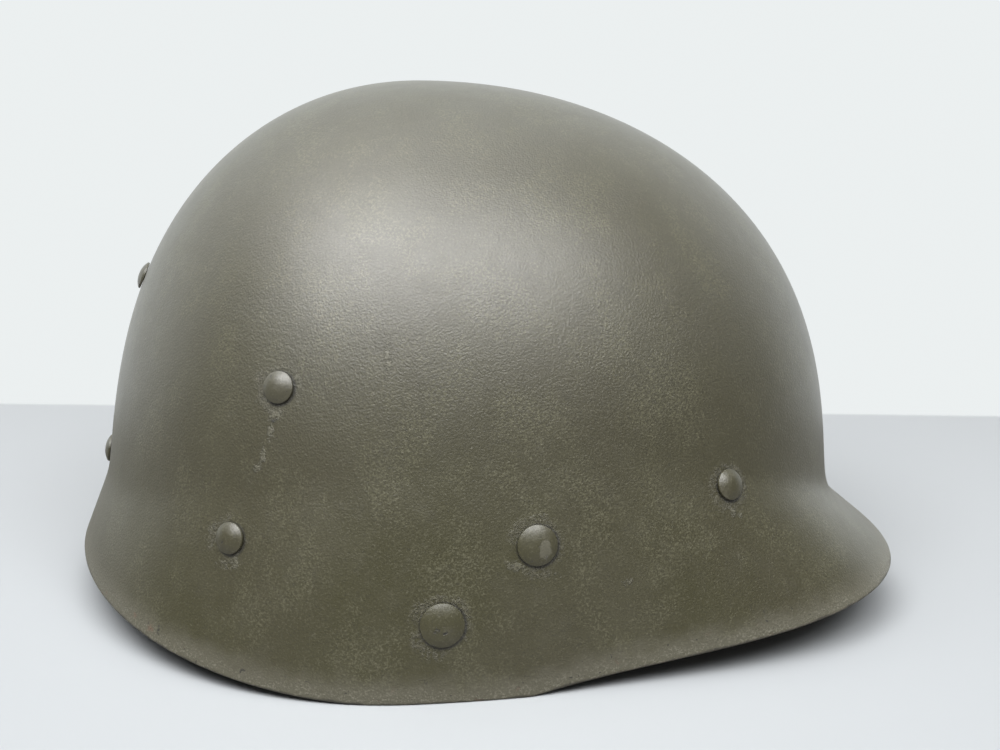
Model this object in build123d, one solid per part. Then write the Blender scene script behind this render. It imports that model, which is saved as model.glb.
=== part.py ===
from build123d import *
import math
import os

# A riveted helmet of the pot pattern with its webbing harness, resting on its side rims.
# Millimetres. +X points to the visor, +Y to the wearer's left, +Z up from the table.
# The origin is on the table, under the middle of the shell's length.

# Shell: half ellipses about the crown axis, which leans forward, over the flared rim
crown_height = 166.8
front_length = 148.1
rear_length = 99.3
half_width = 106.3
wall = 2.3
crown_lean_share = 0.057
front_plan_power = 2.3
rear_plan_power = 2.0
front_dome_power = 2.94
rear_dome_power = 3.2
side_dome_power = 2.65
dome_root = 1.962

# Flare of the visor, the sides and the nape, each from its own height down to the rim
visor_flare_height = 26.8
side_flare_height = 62.2
nape_flare_height = 38.0
visor_flare_share = 1.64
side_flare_share = 0.108
nape_flare_share = 0.35
flare_blend = 4.8
visor_focus_power = 5
nape_focus_power = 2

# Rim: flat where it rests, then rising to the visor and to the nape
rest_front = 28.5
rest_rear = 12.0
visor_rise = 17.0
visor_rise_length = 137.5
nape_rise = 14.7
nape_rise_length = 95.0
visor_rim_ease_share = 0.05
visor_rim_power = 0.8
nape_rim_power = 1.65

# Rings of the lofted shell, as shares of its height
ring_shares = (-0.03, 0.02, 0.07, 0.11, 0.15, 0.19, 0.24, 0.31, 0.4, 0.5, 0.6,
               0.69, 0.77, 0.84, 0.895, 0.94, 0.97, 0.988, 0.9975)
skirt_share = -0.06
ring_points = 48
rim_points = 13
overrun = 10.0

# Harness frame: the plane of the suspension rivets, tipped forward as the head is
harness_pitch = 14.0
harness_forward = 32.0
harness_height_share = 68.7 / 166.8
harness_height = crown_height * harness_height_share

# Rivets: head radius, head height, edge of the head, shank, tail
small_head_radius = 4.55
snap_head_radius = 5.8
strap_head_radius = 6.3
head_height = 2.0
head_edge = 0.6
head_dome_out_share = 0.6
head_dome_up_share = 0.7
shank_radius = 1.8
tail_radius = 3.2
tail_height = 0.9
hole_clearance = 0.1
bore_depth = 20.0
seat_clearance = 0.15

# Places of the rivets: angle from the visor round the crown axis, height above the table
side_suspension_angles = (44.5, 116.5)
rear_suspension_rise = 6.0
nape_angle = 121.7
nape_height = 43.1
chinstrap_angle = 87.8
chinstrap_height = 23.0
snap_angle = 74.0
snap_height = 43.8

# Strap hangers under the suspension rivets, and their clinch washers
hanger_thickness = 1.0
hanger_eye_radius = 7.5
hanger_standoff = 0.8
hanger_foot_offset = 6.2
hanger_foot_half_width = 3.0
hanger_rise = 12.0
bar_wall_clearance = 1.6
hanger_leg = 1.8
hanger_bar = 2.4
clinch_radius = 4.6
clinch_thickness = 0.8

# Webbing
webbing = 1.5
strap_width = 20.0
strap_side_clearance = 0.6
loop_clearance = 0.2
crown_clearance = 33.7
crossing_half_length = 25.0
layer_gap = 0.05
strap_tail_half_height = 8.5
strap_bend_share = 0.7

# Sweatband: an oval of four arcs round the head
head_half_length = 98.0
head_half_width = 76.0
head_end_radius = 65.0
leather = 1.4
sweatband_top = 6.0
sweatband_drop = 36.0
rear_opening_half_width = 28.0
backing = 1.2
backing_half_height = 11.0
backing_centre_drop = 8.0
tail_angle = 34.0
layer_clearance = 0.15

# Support band round the sweatband
support_offset = 5.6
support_half_height = 9.0

# Sliding buckles
buckle_metal = 1.0
buckle_clearance = 0.3
buckle_lip = 3.0
keeper_spare_angle = 10.0
headband_buckle_angle = 16.0

# Clips: angle round the head, base plate, jaw and pin
clip_angles = (26.0, 88.0, 152.0)
clip_width = 14.0
clip_plate = 1.0
clip_jaw_plate = 0.8
clip_jaw_gap = 0.35
clip_pin_radius = 1.0
clip_pin_height = 3.4
clip_knuckle_radius = 2.1
clip_ear = 2.6
clip_ear_clearance = 0.3
clip_running_clearance = 0.06
clip_base_drop = 17.0
clip_jaw_drop = 8.0
clip_rivet_radius = 1.2
clip_rivet_head_radius = 2.2
clip_rivet_head = 0.5
clip_rivet_spacing = 3.6

# Nape band and its snaps
nape_band_gap = 5.4
nape_band_half_height = 12.5
nape_band_end = 14.0
stud_flange_radius = 6.0
stud_flange = 1.0
stud_standoff = 0.3
stud_post_radius = 2.8
stud_socket_depth = 2.2
stud_cap_overlap = 1.2
nape_hole_clearance = 1.0
cap_radius = 6.5
cap_thickness = 1.2
cap_crown = 1.4
cap_crown_share = 0.75
nape_buckle_place_share = 0.5
nape_buckle_angle = 12.0

# Chinstrap hangers and their wire loops
swivel_standoff = 1.6
swivel_plate = 1.2
swivel_eye_radius = 6.5
swivel_neck_half_width = 4.0
swivel_drop = 10.5
swivel_sleeve_radius = 2.0
swivel_sleeve_half_length = 8.5
swivel_running_clearance = 0.06
sleeve_inset_share = 1.5
bush_radius = 3.4
bush_flange_radius = 5.2
loop_wire_radius = 0.9
loop_half_width = 11.0
loop_drop = 8.2

# Snap sockets
socket_radius = 7.0
socket_height = 4.0
socket_mouth_radius = 3.6
socket_floor = 1.4
socket_rim_share = 0.85


# Shell surface

def ramp(distance):
    """Zero far below and rising one for one far above, rounded over flare_blend."""
    return (distance + math.hypot(distance, flare_blend)) / 2


def mix(side, front, rear, front_part, rear_part):
    return side + (front - side) * front_part + (rear - side) * rear_part


def shell_radius(turn, height, inset=0.0):
    """Distance from the crown axis to the surface that lies inset inside the outer one."""
    forward = math.cos(turn)
    across = math.sin(turn)
    is_front = forward > 0
    length = (front_length if is_front else rear_length) - inset
    width = half_width - inset
    top = crown_height - inset
    plan_power = front_plan_power if is_front else rear_plan_power
    dome_power = (front_dome_power if is_front else rear_dome_power) * forward ** 2
    dome_power += side_dome_power * across ** 2
    rise = min(max(height / top, 0), 1)
    dome = (1 - rise ** dome_power) ** (1 / dome_root)
    plan = 2 + (plan_power - 2) * (1 - rise ** 2)
    radius = ((abs(forward) / length) ** plan + (abs(across) / width) ** plan) ** (-1 / plan)
    visor_part = max(forward, 0) ** visor_focus_power
    nape_part = max(-forward, 0) ** nape_focus_power
    start = mix(side_flare_height, visor_flare_height, nape_flare_height, visor_part, nape_part)
    slope = mix(side_flare_share, visor_flare_share, nape_flare_share, visor_part, nape_part)
    start -= inset * (math.hypot(1, slope) - 1) / slope
    return radius * dome + slope * (ramp(start - height) - ramp(start - top))


def rim_height(forward):
    """Height of the rim at a distance in front of the crown axis."""
    ahead = max(forward - rest_front, 0) / visor_rise_length
    behind = max(-rest_rear - forward, 0) / nape_rise_length
    ease = visor_rim_ease_share ** 2
    eased = (1 + ease) * ahead ** 3 / (ahead ** 2 + ease)
    return visor_rise * eased ** visor_rim_power + nape_rise * behind ** nape_rim_power


def rim_reach(turn):
    """Distance in front of the crown axis at which the rim meets the outer surface."""
    low = 0.0
    high = crown_height / 2
    for _ in range(40):
        height = (low + high) / 2
        forward = shell_radius(turn, height) * math.cos(turn) + crown_lean_share * height
        if height > rim_height(forward):
            high = height
        else:
            low = height
    return forward


visor_tip = rim_reach(0)
nape_tip = rim_reach(math.pi)
middle = (visor_tip + nape_tip) / 2


def shell_point(turn, height, inset=0.0):
    radius = shell_radius(turn, height, inset)
    forward = radius * math.cos(turn) + crown_lean_share * height - middle
    return Vector(forward, radius * math.sin(turn), height)


def outside(point, inset):
    """Positive outside the surface, negative inside it."""
    forward = point.X + middle - crown_lean_share * point.Z
    turn = math.atan2(point.Y, forward)
    return math.hypot(forward, point.Y) - shell_radius(turn, point.Z, inset)


def seat(turn, height):
    """A plane on the outer surface, with z outward and x level."""
    point = shell_point(turn, height)
    step = wall / 100
    around = shell_point(turn + step / half_width, height) - point
    upward = shell_point(turn, height + step) - point
    normal = around.cross(upward).normalized()
    level = Vector(0, 0, 1).cross(normal).normalized()
    return Plane(origin=point, x_dir=level, z_dir=normal)


def depth(plane, x, y, inset):
    """How far below a seat's plane the surface lies at a place on it."""
    low = -3 * wall
    high = 6 * wall
    for _ in range(40):
        guess = (low + high) / 2
        if outside(plane.from_local_coords((x, y, -guess)), inset) > 0:
            low = guess
        else:
            high = guess
    return guess


def rim_depths(plane, radius, inset):
    """Depths of the surface under a disc: its middle and eight places on its edge."""
    places = [(0, 0)]
    for index in range(8):
        turn = index * math.pi / 4
        places.append((radius * math.cos(turn), radius * math.sin(turn)))
    return [depth(plane, x, y, inset) for x, y in places]


# Small helpers

def disc(radius, bottom, top):
    """A round slab between two heights of its own frame."""
    return Pos(0, 0, (bottom + top) / 2) * Cylinder(radius, top - bottom)


def ring(outer_radius, inner_radius, bottom, top):
    return disc(outer_radius, bottom, top) - disc(inner_radius, bottom - overrun, top + overrun)


def slab(x_low, x_high, y_low, y_high, z_low, z_high):
    centre = Pos((x_low + x_high) / 2, (y_low + y_high) / 2, (z_low + z_high) / 2)
    return centre * Box(x_high - x_low, y_high - y_low, z_high - z_low)


def both_sides(shape):
    """A right-hand shape and its mirror image on the left."""
    return [shape, mirror(shape, about=Plane.XZ)]


def write(name, shapes):
    solids = []
    for shape in shapes:
        solids.extend(shape.solids())
    if len(solids) == 1:
        solids[0].label = name
        export_step(solids[0], f"parts/{name}.step")
    else:
        export_step(Compound(label=name, children=solids), f"parts/{name}.step")


# Shell

def shell_ring(height, inset):
    points = []
    for index in range(ring_points):
        radius = shell_radius(2 * math.pi * index / ring_points, height, inset)
        turn = 2 * math.pi * index / ring_points
        forward = radius * math.cos(turn) + crown_lean_share * height - middle
        points.append((forward, radius * math.sin(turn), height))
    return Wire([Edge.make_spline(points, periodic=True)])


def below_rim():
    """Everything under the rim, as one outline seen from the side."""
    skirt = skirt_share * crown_height
    front_end = shell_radius(0, skirt) + overrun
    rear_end = -shell_radius(math.pi, skirt) - overrun
    front_points = []
    rear_points = []
    for index in range(rim_points):
        part = (index / (rim_points - 1)) ** 2
        forward = rest_front + (front_end - rest_front) * part
        front_points.append((forward - middle, 0, rim_height(forward)))
        forward = -rest_rear + (rear_end + rest_rear) * part
        rear_points.append((forward - middle, 0, rim_height(forward)))
    floor = -crown_height / 2
    outline = [
        Line(rear_points[0], front_points[0]),
        Spline(front_points),
        Polyline(front_points[-1], (front_end - middle, 0, floor),
                 (rear_end - middle, 0, floor), rear_points[-1]),
        Spline(rear_points),
    ]
    return extrude(make_face(outline), amount=half_width + 2 * overrun, both=True)


def make_shell(seats):
    outer = Solid.make_loft([shell_ring(crown_height * share, 0) for share in ring_shares])
    top = crown_height - wall
    inner = Solid.make_loft([shell_ring(top * share, wall)
                             for share in (skirt_share,) + ring_shares])
    shell = outer - inner - below_rim()
    for plane in seats:
        hole = disc(shank_radius + hole_clearance, -bore_depth, bore_depth)
        shell -= plane.location * hole
    return shell


# Rivets

def make_rivet(plane, head_radius, tail_bottom, with_tail=True):
    """A low domed head outside, a shank through the wall, and a spread tail inside."""
    under = -min(rim_depths(plane, head_radius, 0)) + seat_clearance
    outline = [
        Line((0, 0, tail_bottom), (0, 0, under + head_height)),
        ThreePointArc((0, 0, under + head_height),
                      (head_radius * head_dome_out_share, 0,
                       under + head_edge + (head_height - head_edge) * head_dome_up_share),
                      (head_radius, 0, under + head_edge)),
        Polyline((head_radius, 0, under + head_edge), (head_radius, 0, under),
                 (shank_radius, 0, under), (shank_radius, 0, tail_bottom)),
        Line((shank_radius, 0, tail_bottom), (0, 0, tail_bottom)),
    ]
    rivet = revolve(make_face(outline), Axis.Z, 360)
    if with_tail:
        rivet += disc(tail_radius, tail_bottom - tail_height, tail_bottom)
    return plane.location * rivet


def suspension_seat(turn, rise=0.0):
    """The seat at a rise above the harness plane, at an angle round the crown axis."""
    height = harness_height
    for _ in range(20):
        forward = shell_point(turn, height).X + middle - harness_forward
        height = harness_height + rise - forward * math.tan(math.radians(harness_pitch))
    return seat(turn, height)


def suspension_seats():
    front = suspension_seat(0)
    rear = suspension_seat(math.pi, rear_suspension_rise)
    right = [suspension_seat(-math.radians(angle)) for angle in side_suspension_angles]
    left = [suspension_seat(math.radians(angle)) for angle in side_suspension_angles]
    return [front, right[0], left[0], rear, right[1], left[1]]


# Harness

pitch = math.radians(harness_pitch)
harness = Plane(origin=(harness_forward - middle, 0, harness_height),
                x_dir=(math.cos(pitch), 0, -math.sin(pitch)),
                z_dir=(math.sin(pitch), 0, math.cos(pitch)))


def oval_face(offset):
    """The head oval: two end arcs and two side arcs, all moved out by an offset."""
    length = head_half_length + offset
    width = head_half_width + offset
    end_radius = head_end_radius + offset
    end_centre = length - end_radius
    side_radius = (end_centre ** 2 + width ** 2 - end_radius ** 2) / (2 * (width - end_radius))
    side_centre = side_radius - width
    reach = side_radius - end_radius
    x = end_centre + end_radius * end_centre / reach
    y = end_radius * side_centre / reach
    arcs = [
        ThreePointArc((x, -y), (length, 0), (x, y)),
        ThreePointArc((x, y), (0, width), (-x, y)),
        ThreePointArc((-x, y), (-length, 0), (-x, -y)),
        ThreePointArc((-x, -y), (0, -width), (x, -y)),
    ]
    return make_face(arcs)


def oval_band(inner_offset, thickness, bottom, top):
    face = oval_face(inner_offset + thickness) - oval_face(inner_offset)
    return Pos(0, 0, bottom) * extrude(face, amount=top - bottom)


def oval_reach(direction, offset):
    """Distance from the harness centre to the oval along a level direction."""
    length = head_half_length + offset
    width = head_half_width + offset
    end_radius = head_end_radius + offset
    end_centre = length - end_radius
    side_radius = (end_centre ** 2 + width ** 2 - end_radius ** 2) / (2 * (width - end_radius))
    side_centre = side_radius - width
    x = abs(math.cos(direction))
    y = abs(math.sin(direction))
    along = end_centre * x
    reach = along + math.sqrt(along ** 2 - end_centre ** 2 + end_radius ** 2)
    if reach * y * end_centre <= side_centre * (reach * x - end_centre):
        return reach
    along = -side_centre * y
    return along + math.sqrt(along ** 2 - side_centre ** 2 + side_radius ** 2)


def oval_place(direction, offset):
    """A point of the oval and its outward direction."""
    reach = oval_reach(direction, offset)
    step = math.radians(0.01)
    ahead = oval_reach(direction + step, offset)
    x = reach * math.cos(direction)
    y = reach * math.sin(direction)
    run_x = ahead * math.cos(direction + step) - x
    run_y = ahead * math.sin(direction + step) - y
    run = math.hypot(run_x, run_y)
    return Vector(x, y, 0), Vector(run_y / run, -run_x / run, 0)


loop_inner = math.hypot(hanger_bar, hanger_thickness) / 2 + loop_clearance
loop_outer = loop_inner + webbing


def hanger_standing(plane):
    """Depth of a hanger's outer face below its seat's plane."""
    return max(rim_depths(plane, hanger_eye_radius, wall)) + hanger_standoff


def hanger_eye(plane):
    """Middle of a hanger's eye, in the harness frame."""
    eye = plane.from_local_coords((0, 0, -hanger_standing(plane) - hanger_thickness / 2))
    return harness.to_local_coords(eye)


def strap_line(seat_a, seat_b):
    """Level direction, in the harness frame, from one hanger's eye to the other."""
    run = hanger_eye(seat_b) - hanger_eye(seat_a)
    return Vector(run.X, run.Y, 0).normalized()


def bar_point(plane, outward):
    """Centre of the hanger's bar, in the harness frame: as near the wall as its strap can lie."""
    start = hanger_eye(plane) + Vector(0, 0, hanger_rise)
    across = Vector(-outward.Y, outward.X, 0)
    edges = []
    for side in (-1, 1):
        for step in range(3):
            tilt = step * math.pi / 9
            edge = across * (side * strap_width / 2) + outward * (loop_outer * math.cos(tilt))
            edges.append(edge + Vector(0, 0, loop_outer * math.sin(tilt)))
    low = 0.0
    high = strap_width
    for _ in range(30):
        reach = (low + high) / 2
        places = [harness.from_local_coords(start - outward * reach + edge) for edge in edges]
        if max(outside(place, wall) for place in places) > -bar_wall_clearance:
            low = reach
        else:
            high = reach
    return start - outward * high


def make_hanger(plane, outward):
    """An eye on the rivet and an A-shaped frame that ends in the strap's bar."""
    top = -hanger_standing(plane)
    eye_middle = top - hanger_thickness / 2
    eye = plane.location * disc(hanger_eye_radius, top - hanger_thickness, top)
    world_out = harness.from_local_coords(outward) - harness.origin
    foot_local = Vector(0, hanger_foot_offset, eye_middle)
    foot = plane.from_local_coords(foot_local)
    bar = harness.from_local_coords(bar_point(plane, outward))
    across = harness.z_dir.cross(world_out).normalized()
    run = bar - foot
    run = run - across * run.dot(across)
    length = run.length
    frame_plane = Plane(origin=bar - run, x_dir=across, z_dir=across.cross(run).normalized())
    bar_half = strap_width / 2 + strap_side_clearance
    wide = bar_half + hanger_leg
    low = hanger_foot_half_width
    end = length + hanger_bar / 2
    slot_top = length - hanger_bar / 2
    slot_bottom = slot_top - loop_outer
    knee = slot_bottom - hanger_thickness
    outline = Polyline((-low, 0), (low, 0), (wide, knee), (wide, end), (-wide, end),
                       (-wide, knee), close=True)
    slot = Pos(0, (slot_bottom + slot_top) / 2) * Rectangle(2 * bar_half, slot_top - slot_bottom)
    face = make_face(outline) - slot
    frame = frame_plane.location * extrude(face, amount=hanger_thickness / 2, both=True)
    hole = plane.location * disc(shank_radius + hole_clearance, -bore_depth, bore_depth)
    return eye + frame - hole


def quarter(centre_x, centre_y, reach, rise):
    """A quarter of an elliptical strap arc, falling to its right."""
    half = webbing / 2
    outer = Ellipse(reach + half, rise + half)
    inner = Ellipse(reach - half, rise - half)
    window = Rectangle(reach + webbing, rise + webbing, align=(Align.MIN, Align.MIN))
    return Pos(centre_x, centre_y) * ((outer - inner) & window)


def strap_end(bar_x, bar_y, face_x):
    """The fold round a bar and the tail that is sewn to the support band."""
    low = -strap_tail_half_height
    bend = strap_tail_half_height * strap_bend_share
    tail = Polyline((face_x - webbing, low), (face_x + webbing, low),
                    (face_x + webbing, bend), (bar_x + webbing / 2, bar_y - loop_inner),
                    (bar_x - webbing, bar_y - loop_inner), (face_x - webbing, bend), close=True)
    end = make_face(tail) + Pos(bar_x, bar_y) * Circle(loop_outer)
    return end - Pos(bar_x, bar_y) * Circle(loop_inner)


def band_face_distance(direction, crossing_x):
    """Furthest reach of the support band's outer face under a strap's width."""
    best = 0.0
    for index in range(360):
        turn = math.radians(index)
        reach = oval_reach(turn, support_offset + webbing)
        x = reach * math.cos(turn) - crossing_x
        y = reach * math.sin(turn)
        aside = -x * direction.Y + y * direction.X
        if abs(aside) <= strap_width / 2:
            best = max(best, x * direction.X + y * direction.Y)
    return best


def make_crown_strap(seat_a, seat_b, layer, filled_band):
    """One strap from hanger to hanger over the crown, its tails sewn to the support band."""
    direction = strap_line(seat_a, seat_b)
    bar_a = bar_point(seat_a, direction * -1)
    bar_b = bar_point(seat_b, direction)
    slope = (bar_b.X - bar_a.X) / max(abs(bar_b.Y - bar_a.Y), layer_gap)
    crossing_x = 0.0
    if abs(bar_b.Y - bar_a.Y) > webbing:
        crossing_x = bar_a.X + abs(bar_a.Y) * slope
    crossing = Vector(crossing_x, 0, 0)
    crown = (crown_height - wall - crown_clearance - harness_height) / math.cos(pitch)
    top = crown - layer * (webbing + layer_gap)
    profile = Pos(0, top) * Rectangle(2 * crossing_half_length, webbing)
    for bar, sense in ((bar_b, 1), (bar_a, -1)):
        bar_x = abs((bar - crossing).dot(direction))
        reach = bar_x - loop_inner - webbing / 2 - crossing_half_length
        side = quarter(crossing_half_length, bar.Z, reach, top - bar.Z)
        face_x = band_face_distance(direction * sense, crossing_x)
        side += strap_end(bar_x, bar.Z, face_x)
        if sense < 0:
            side = mirror(side, about=Plane.YZ)
        profile += side
    strap_plane = Plane(origin=crossing, x_dir=direction, z_dir=direction.cross(Vector(0, 0, 1)))
    strap = strap_plane.location * extrude(profile, amount=strap_width / 2, both=True)
    return harness.location * (strap - filled_band)


# Pieces that follow the rear of the head are centred on the direction behind it
rearward = 180.0


def rear_arc_centre():
    return Vector(head_end_radius - head_half_length, 0, 0)


def arc_sector(inner_radius, outer_radius, bottom, top, angle, facing=rearward):
    """Part of a ring about the upright axis, centred on the way it faces."""
    outline = Plane.XZ * Pos((inner_radius + outer_radius) / 2, (bottom + top) / 2)
    face = outline * Rectangle(outer_radius - inner_radius, top - bottom)
    return Rot(0, 0, facing - angle / 2) * revolve(face, Axis.Z, angle)


def keeper(inner_radius, outer_radius, bottom, top, angle, facing=rearward):
    """A sheet metal slide folded round a band: a cover outside and two lips inside."""
    gap = buckle_clearance
    metal = buckle_metal
    body = arc_sector(inner_radius - gap - metal, outer_radius + gap + metal,
                      bottom - gap - metal, top + gap + metal, angle, facing)
    space = arc_sector(inner_radius - gap, outer_radius + gap, bottom - gap, top + gap,
                       angle + keeper_spare_angle, facing)
    mouth = arc_sector(inner_radius - gap - 2 * metal, inner_radius,
                       bottom + buckle_lip, top - buckle_lip, angle + keeper_spare_angle,
                       facing)
    return body - space - mouth


backing_bottom = -backing_centre_drop - backing_half_height
backing_top = -backing_centre_drop + backing_half_height


def make_leather():
    band = oval_band(0, leather, -sweatband_drop, sweatband_top)
    gap = slab(-2 * head_half_length, -head_half_length / 2, -rear_opening_half_width,
               rear_opening_half_width, -2 * sweatband_drop, 2 * sweatband_drop)
    return harness.location * (band - gap)


def make_backing(clip_holes):
    band = oval_band(leather, backing, backing_bottom, backing_top)
    inner = head_end_radius + leather + backing
    tail = arc_sector(inner, inner + backing, backing_bottom, backing_top, tail_angle)
    band += Pos(rear_arc_centre()) * tail
    for hole in clip_holes:
        band -= hole
    return harness.location * band


def make_headband_buckle():
    inner = head_end_radius + leather
    slide = keeper(inner, inner + 2 * backing, backing_bottom, backing_top,
                   headband_buckle_angle)
    return harness.location * (Pos(rear_arc_centre()) * slide)


def make_support_band():
    band = oval_band(support_offset, webbing, -support_half_height, support_half_height)
    return harness.location * band


# Clips: their own frame has x along the band, y outward and z up

def clip_frame(turn):
    point, outward = oval_place(turn, leather + backing)
    return Plane(origin=point, x_dir=outward.cross(Vector(0, 0, 1)), z_dir=(0, 0, 1))


clip_pin_out = support_offset + webbing / 2 - leather - backing
clip_pin_up = support_half_height + clip_pin_height


def clip_rivet_places():
    low = clip_pin_up - clip_base_drop
    return [(-clip_rivet_spacing, low - clip_rivet_spacing),
            (clip_rivet_spacing, low - clip_rivet_spacing)]


def along_y(radius, start, end, x, z):
    return Pos(x, 0, z) * Rot(-90, 0, 0) * disc(radius, start, end)


def along_x(radius, start, end, y, z):
    return Pos(0, y, z) * Rot(0, 90, 0) * disc(radius, start, end)


def make_clip_base():
    """A plate on the sweatband's backing with two eared arms out to the pin."""
    half = clip_width / 2
    bottom = clip_pin_up - clip_base_drop - 2 * clip_rivet_spacing
    body = slab(-half, half, 0, clip_plate, bottom, clip_pin_up)
    for side in (-1, 1):
        low, high = sorted((side * half, side * (half - clip_ear)))
        body += slab(low, high, 0, clip_pin_out, clip_pin_up - clip_knuckle_radius / 2,
                     clip_pin_up + clip_knuckle_radius / 2)
        body += along_x(clip_knuckle_radius, low, high, clip_pin_out, clip_pin_up)
    body -= along_x(clip_pin_radius, -clip_width, clip_width, clip_pin_out, clip_pin_up)
    for x, z in clip_rivet_places():
        body -= along_y(clip_rivet_radius, -bore_depth, bore_depth, x, z)
    return body


def make_clip_jaw():
    """A hinged plate that presses the support band, with a turned-out lower lip."""
    half = clip_width / 2 - clip_ear - clip_ear_clearance
    face = support_offset + webbing - leather - backing + clip_jaw_gap
    outer = face + clip_jaw_plate
    jaw = slab(-half, half, face, outer, -clip_jaw_drop, clip_pin_up)
    jaw += slab(-clip_width / 2, clip_width / 2, face, outer, -clip_jaw_drop,
                support_half_height - clip_knuckle_radius / 2)
    lip = Pos(0, outer, -clip_jaw_drop) * Rot(0, 90, 0)
    jaw += lip * disc(clip_jaw_plate, -clip_width / 2, clip_width / 2)
    jaw += along_x(clip_knuckle_radius, -half, half, clip_pin_out, clip_pin_up)
    jaw -= along_x(clip_pin_radius + clip_running_clearance, -clip_width, clip_width,
                   clip_pin_out, clip_pin_up)
    return jaw


def make_clip_pin():
    return along_x(clip_pin_radius, -clip_width / 2, clip_width / 2, clip_pin_out, clip_pin_up)


def make_clip_rivets():
    """Small rivets through the base plate and the backing."""
    rivets = []
    for x, z in clip_rivet_places():
        shank = along_y(clip_rivet_radius, -backing, clip_plate, x, z)
        head = along_y(clip_rivet_head_radius, clip_plate, clip_plate + clip_rivet_head, x, z)
        rivets.append(shank + head)
    return rivets


# Nape

def nape_seats():
    turn = math.radians(nape_angle)
    return [seat(math.pi, nape_height), seat(-turn, nape_height), seat(turn, nape_height)]


def nape_arc(seats):
    """Centre and radius of the level arc that runs nape_band_gap inside the wall."""
    points = []
    for plane in seats[:2]:
        inner = plane.from_local_coords((0, 0, -depth(plane, 0, 0, wall)))
        level = Vector(plane.z_dir.X, plane.z_dir.Y, 0).normalized()
        points.append(inner - level * nape_band_gap)
    rear, side = points
    run = side.X - rear.X
    radius = (run ** 2 + side.Y ** 2) / (2 * run)
    return Vector(rear.X + radius, 0, nape_height), radius, math.atan2(-side.Y, rear.X + radius - side.X)


def stud_frame(plane, centre):
    """A level frame at a nape seat, z pointing inward to the arc's centre."""
    start = plane.from_local_coords((0, 0, -depth(plane, 0, 0, wall)))
    inward = Vector(centre.X - start.X, centre.Y - start.Y, 0).normalized()
    return Plane(origin=start, x_dir=Vector(0, 0, 1).cross(inward), z_dir=inward)


def stud_flange_depth(plane):
    return max(rim_depths(plane, stud_flange_radius, wall)) + stud_standoff


def make_nape_stud(plane):
    """A flanged hollow stud clinched on the end of a nape rivet."""
    top = -stud_flange_depth(plane)
    end = top - stud_flange - nape_band_gap - webbing - cap_thickness
    stud = disc(stud_flange_radius, top - stud_flange, top)
    stud += disc(stud_post_radius, end, top)
    stud -= disc(shank_radius, top - stud_socket_depth, top + overrun)
    return plane.location * stud


def make_nape_band(seats, centre, radius, half_angle):
    end_angle = math.degrees(half_angle + nape_band_end / radius)
    band = arc_sector(radius - webbing, radius, -nape_band_half_height, nape_band_half_height,
                      2 * end_angle)
    band = Pos(centre) * band
    for plane in seats:
        hole = disc(stud_post_radius + nape_hole_clearance, -bore_depth, 0)
        band -= plane.location * hole
    return band


def make_nape_cap(plane, centre, radius):
    """A snap cap on the inner face of the nape band, round the stud."""
    frame = stud_frame(plane, centre)
    reach = Vector(frame.origin.X - centre.X, frame.origin.Y - centre.Y, 0).length
    face = reach - radius + webbing + cap_radius ** 2 / (2 * radius)
    cap = disc(cap_radius, face, face + cap_thickness)
    cap += disc(cap_radius * cap_crown_share, face, face + cap_thickness + cap_crown)
    frame_cap = frame.location * cap
    hole = disc(stud_post_radius + nape_hole_clearance, -bore_depth, 0)
    return frame_cap - plane.location * hole


def make_nape_buckle(radius, place):
    """A slide on the nape band, between the rear snap and a side snap."""
    slide = keeper(radius - webbing, radius, -nape_band_half_height, nape_band_half_height,
                   nape_buckle_angle, rearward + place)
    return slide


# Chinstrap hardware

def swivel_top(plane):
    return -max(rim_depths(plane, swivel_eye_radius, wall)) - swivel_standoff


def loop_axis(plane):
    """Middle of the hanger's sleeve, in its seat's frame."""
    return Vector(0, -swivel_drop, swivel_top(plane) - sleeve_inset_share * swivel_plate)


def make_swivel(plane):
    """A hanger that turns on the bush of its rivet, with a sleeve for the wire loop."""
    top = swivel_top(plane)
    bottom = top - swivel_plate
    sleeve_place = Pos(loop_axis(plane)) * Rot(0, 90, 0)
    body = disc(swivel_eye_radius, bottom, top)
    body += slab(-swivel_neck_half_width, swivel_neck_half_width, -swivel_drop, 0, bottom, top)
    sleeve = disc(swivel_sleeve_radius, -swivel_sleeve_half_length, swivel_sleeve_half_length)
    body += sleeve_place * sleeve
    bore = disc(loop_wire_radius + swivel_running_clearance, -bore_depth, bore_depth)
    body -= sleeve_place * bore
    body -= disc(bush_radius + swivel_running_clearance, -bore_depth, bore_depth)
    return plane.location * body


def make_bush(plane):
    """A shouldered bush under the rivet's tail, on which the hanger turns."""
    top = swivel_top(plane)
    start = -max(rim_depths(plane, bush_flange_radius, wall))
    bottom = top - swivel_plate - buckle_clearance
    bush = disc(bush_radius, bottom, start)
    bush += disc(bush_flange_radius, bottom - clinch_thickness, bottom)
    bush -= disc(shank_radius, -bore_depth, bore_depth)
    return plane.location * bush


def make_wire_loop(plane):
    """A rectangle of wire that hangs straight down, its top bar in the hanger's sleeve."""
    hanging = Plane(origin=plane.from_local_coords(loop_axis(plane)), x_dir=plane.x_dir,
                    z_dir=plane.x_dir.cross(Vector(0, 0, 1)))
    corners = [(-loop_half_width, 0), (loop_half_width, 0),
               (loop_half_width, -loop_drop), (-loop_half_width, -loop_drop)]
    wire = None
    for index, start in enumerate(corners):
        end = corners[(index + 1) % 4]
        line = Vector(end[0] - start[0], end[1] - start[1], 0)
        frame = Plane(origin=(start[0], start[1], 0), z_dir=line)
        bar = frame.location * disc(loop_wire_radius, 0, line.length)
        bar += Pos(*start, 0) * Sphere(loop_wire_radius)
        wire = bar if wire is None else wire + bar
    return hanging.location * wire


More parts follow.
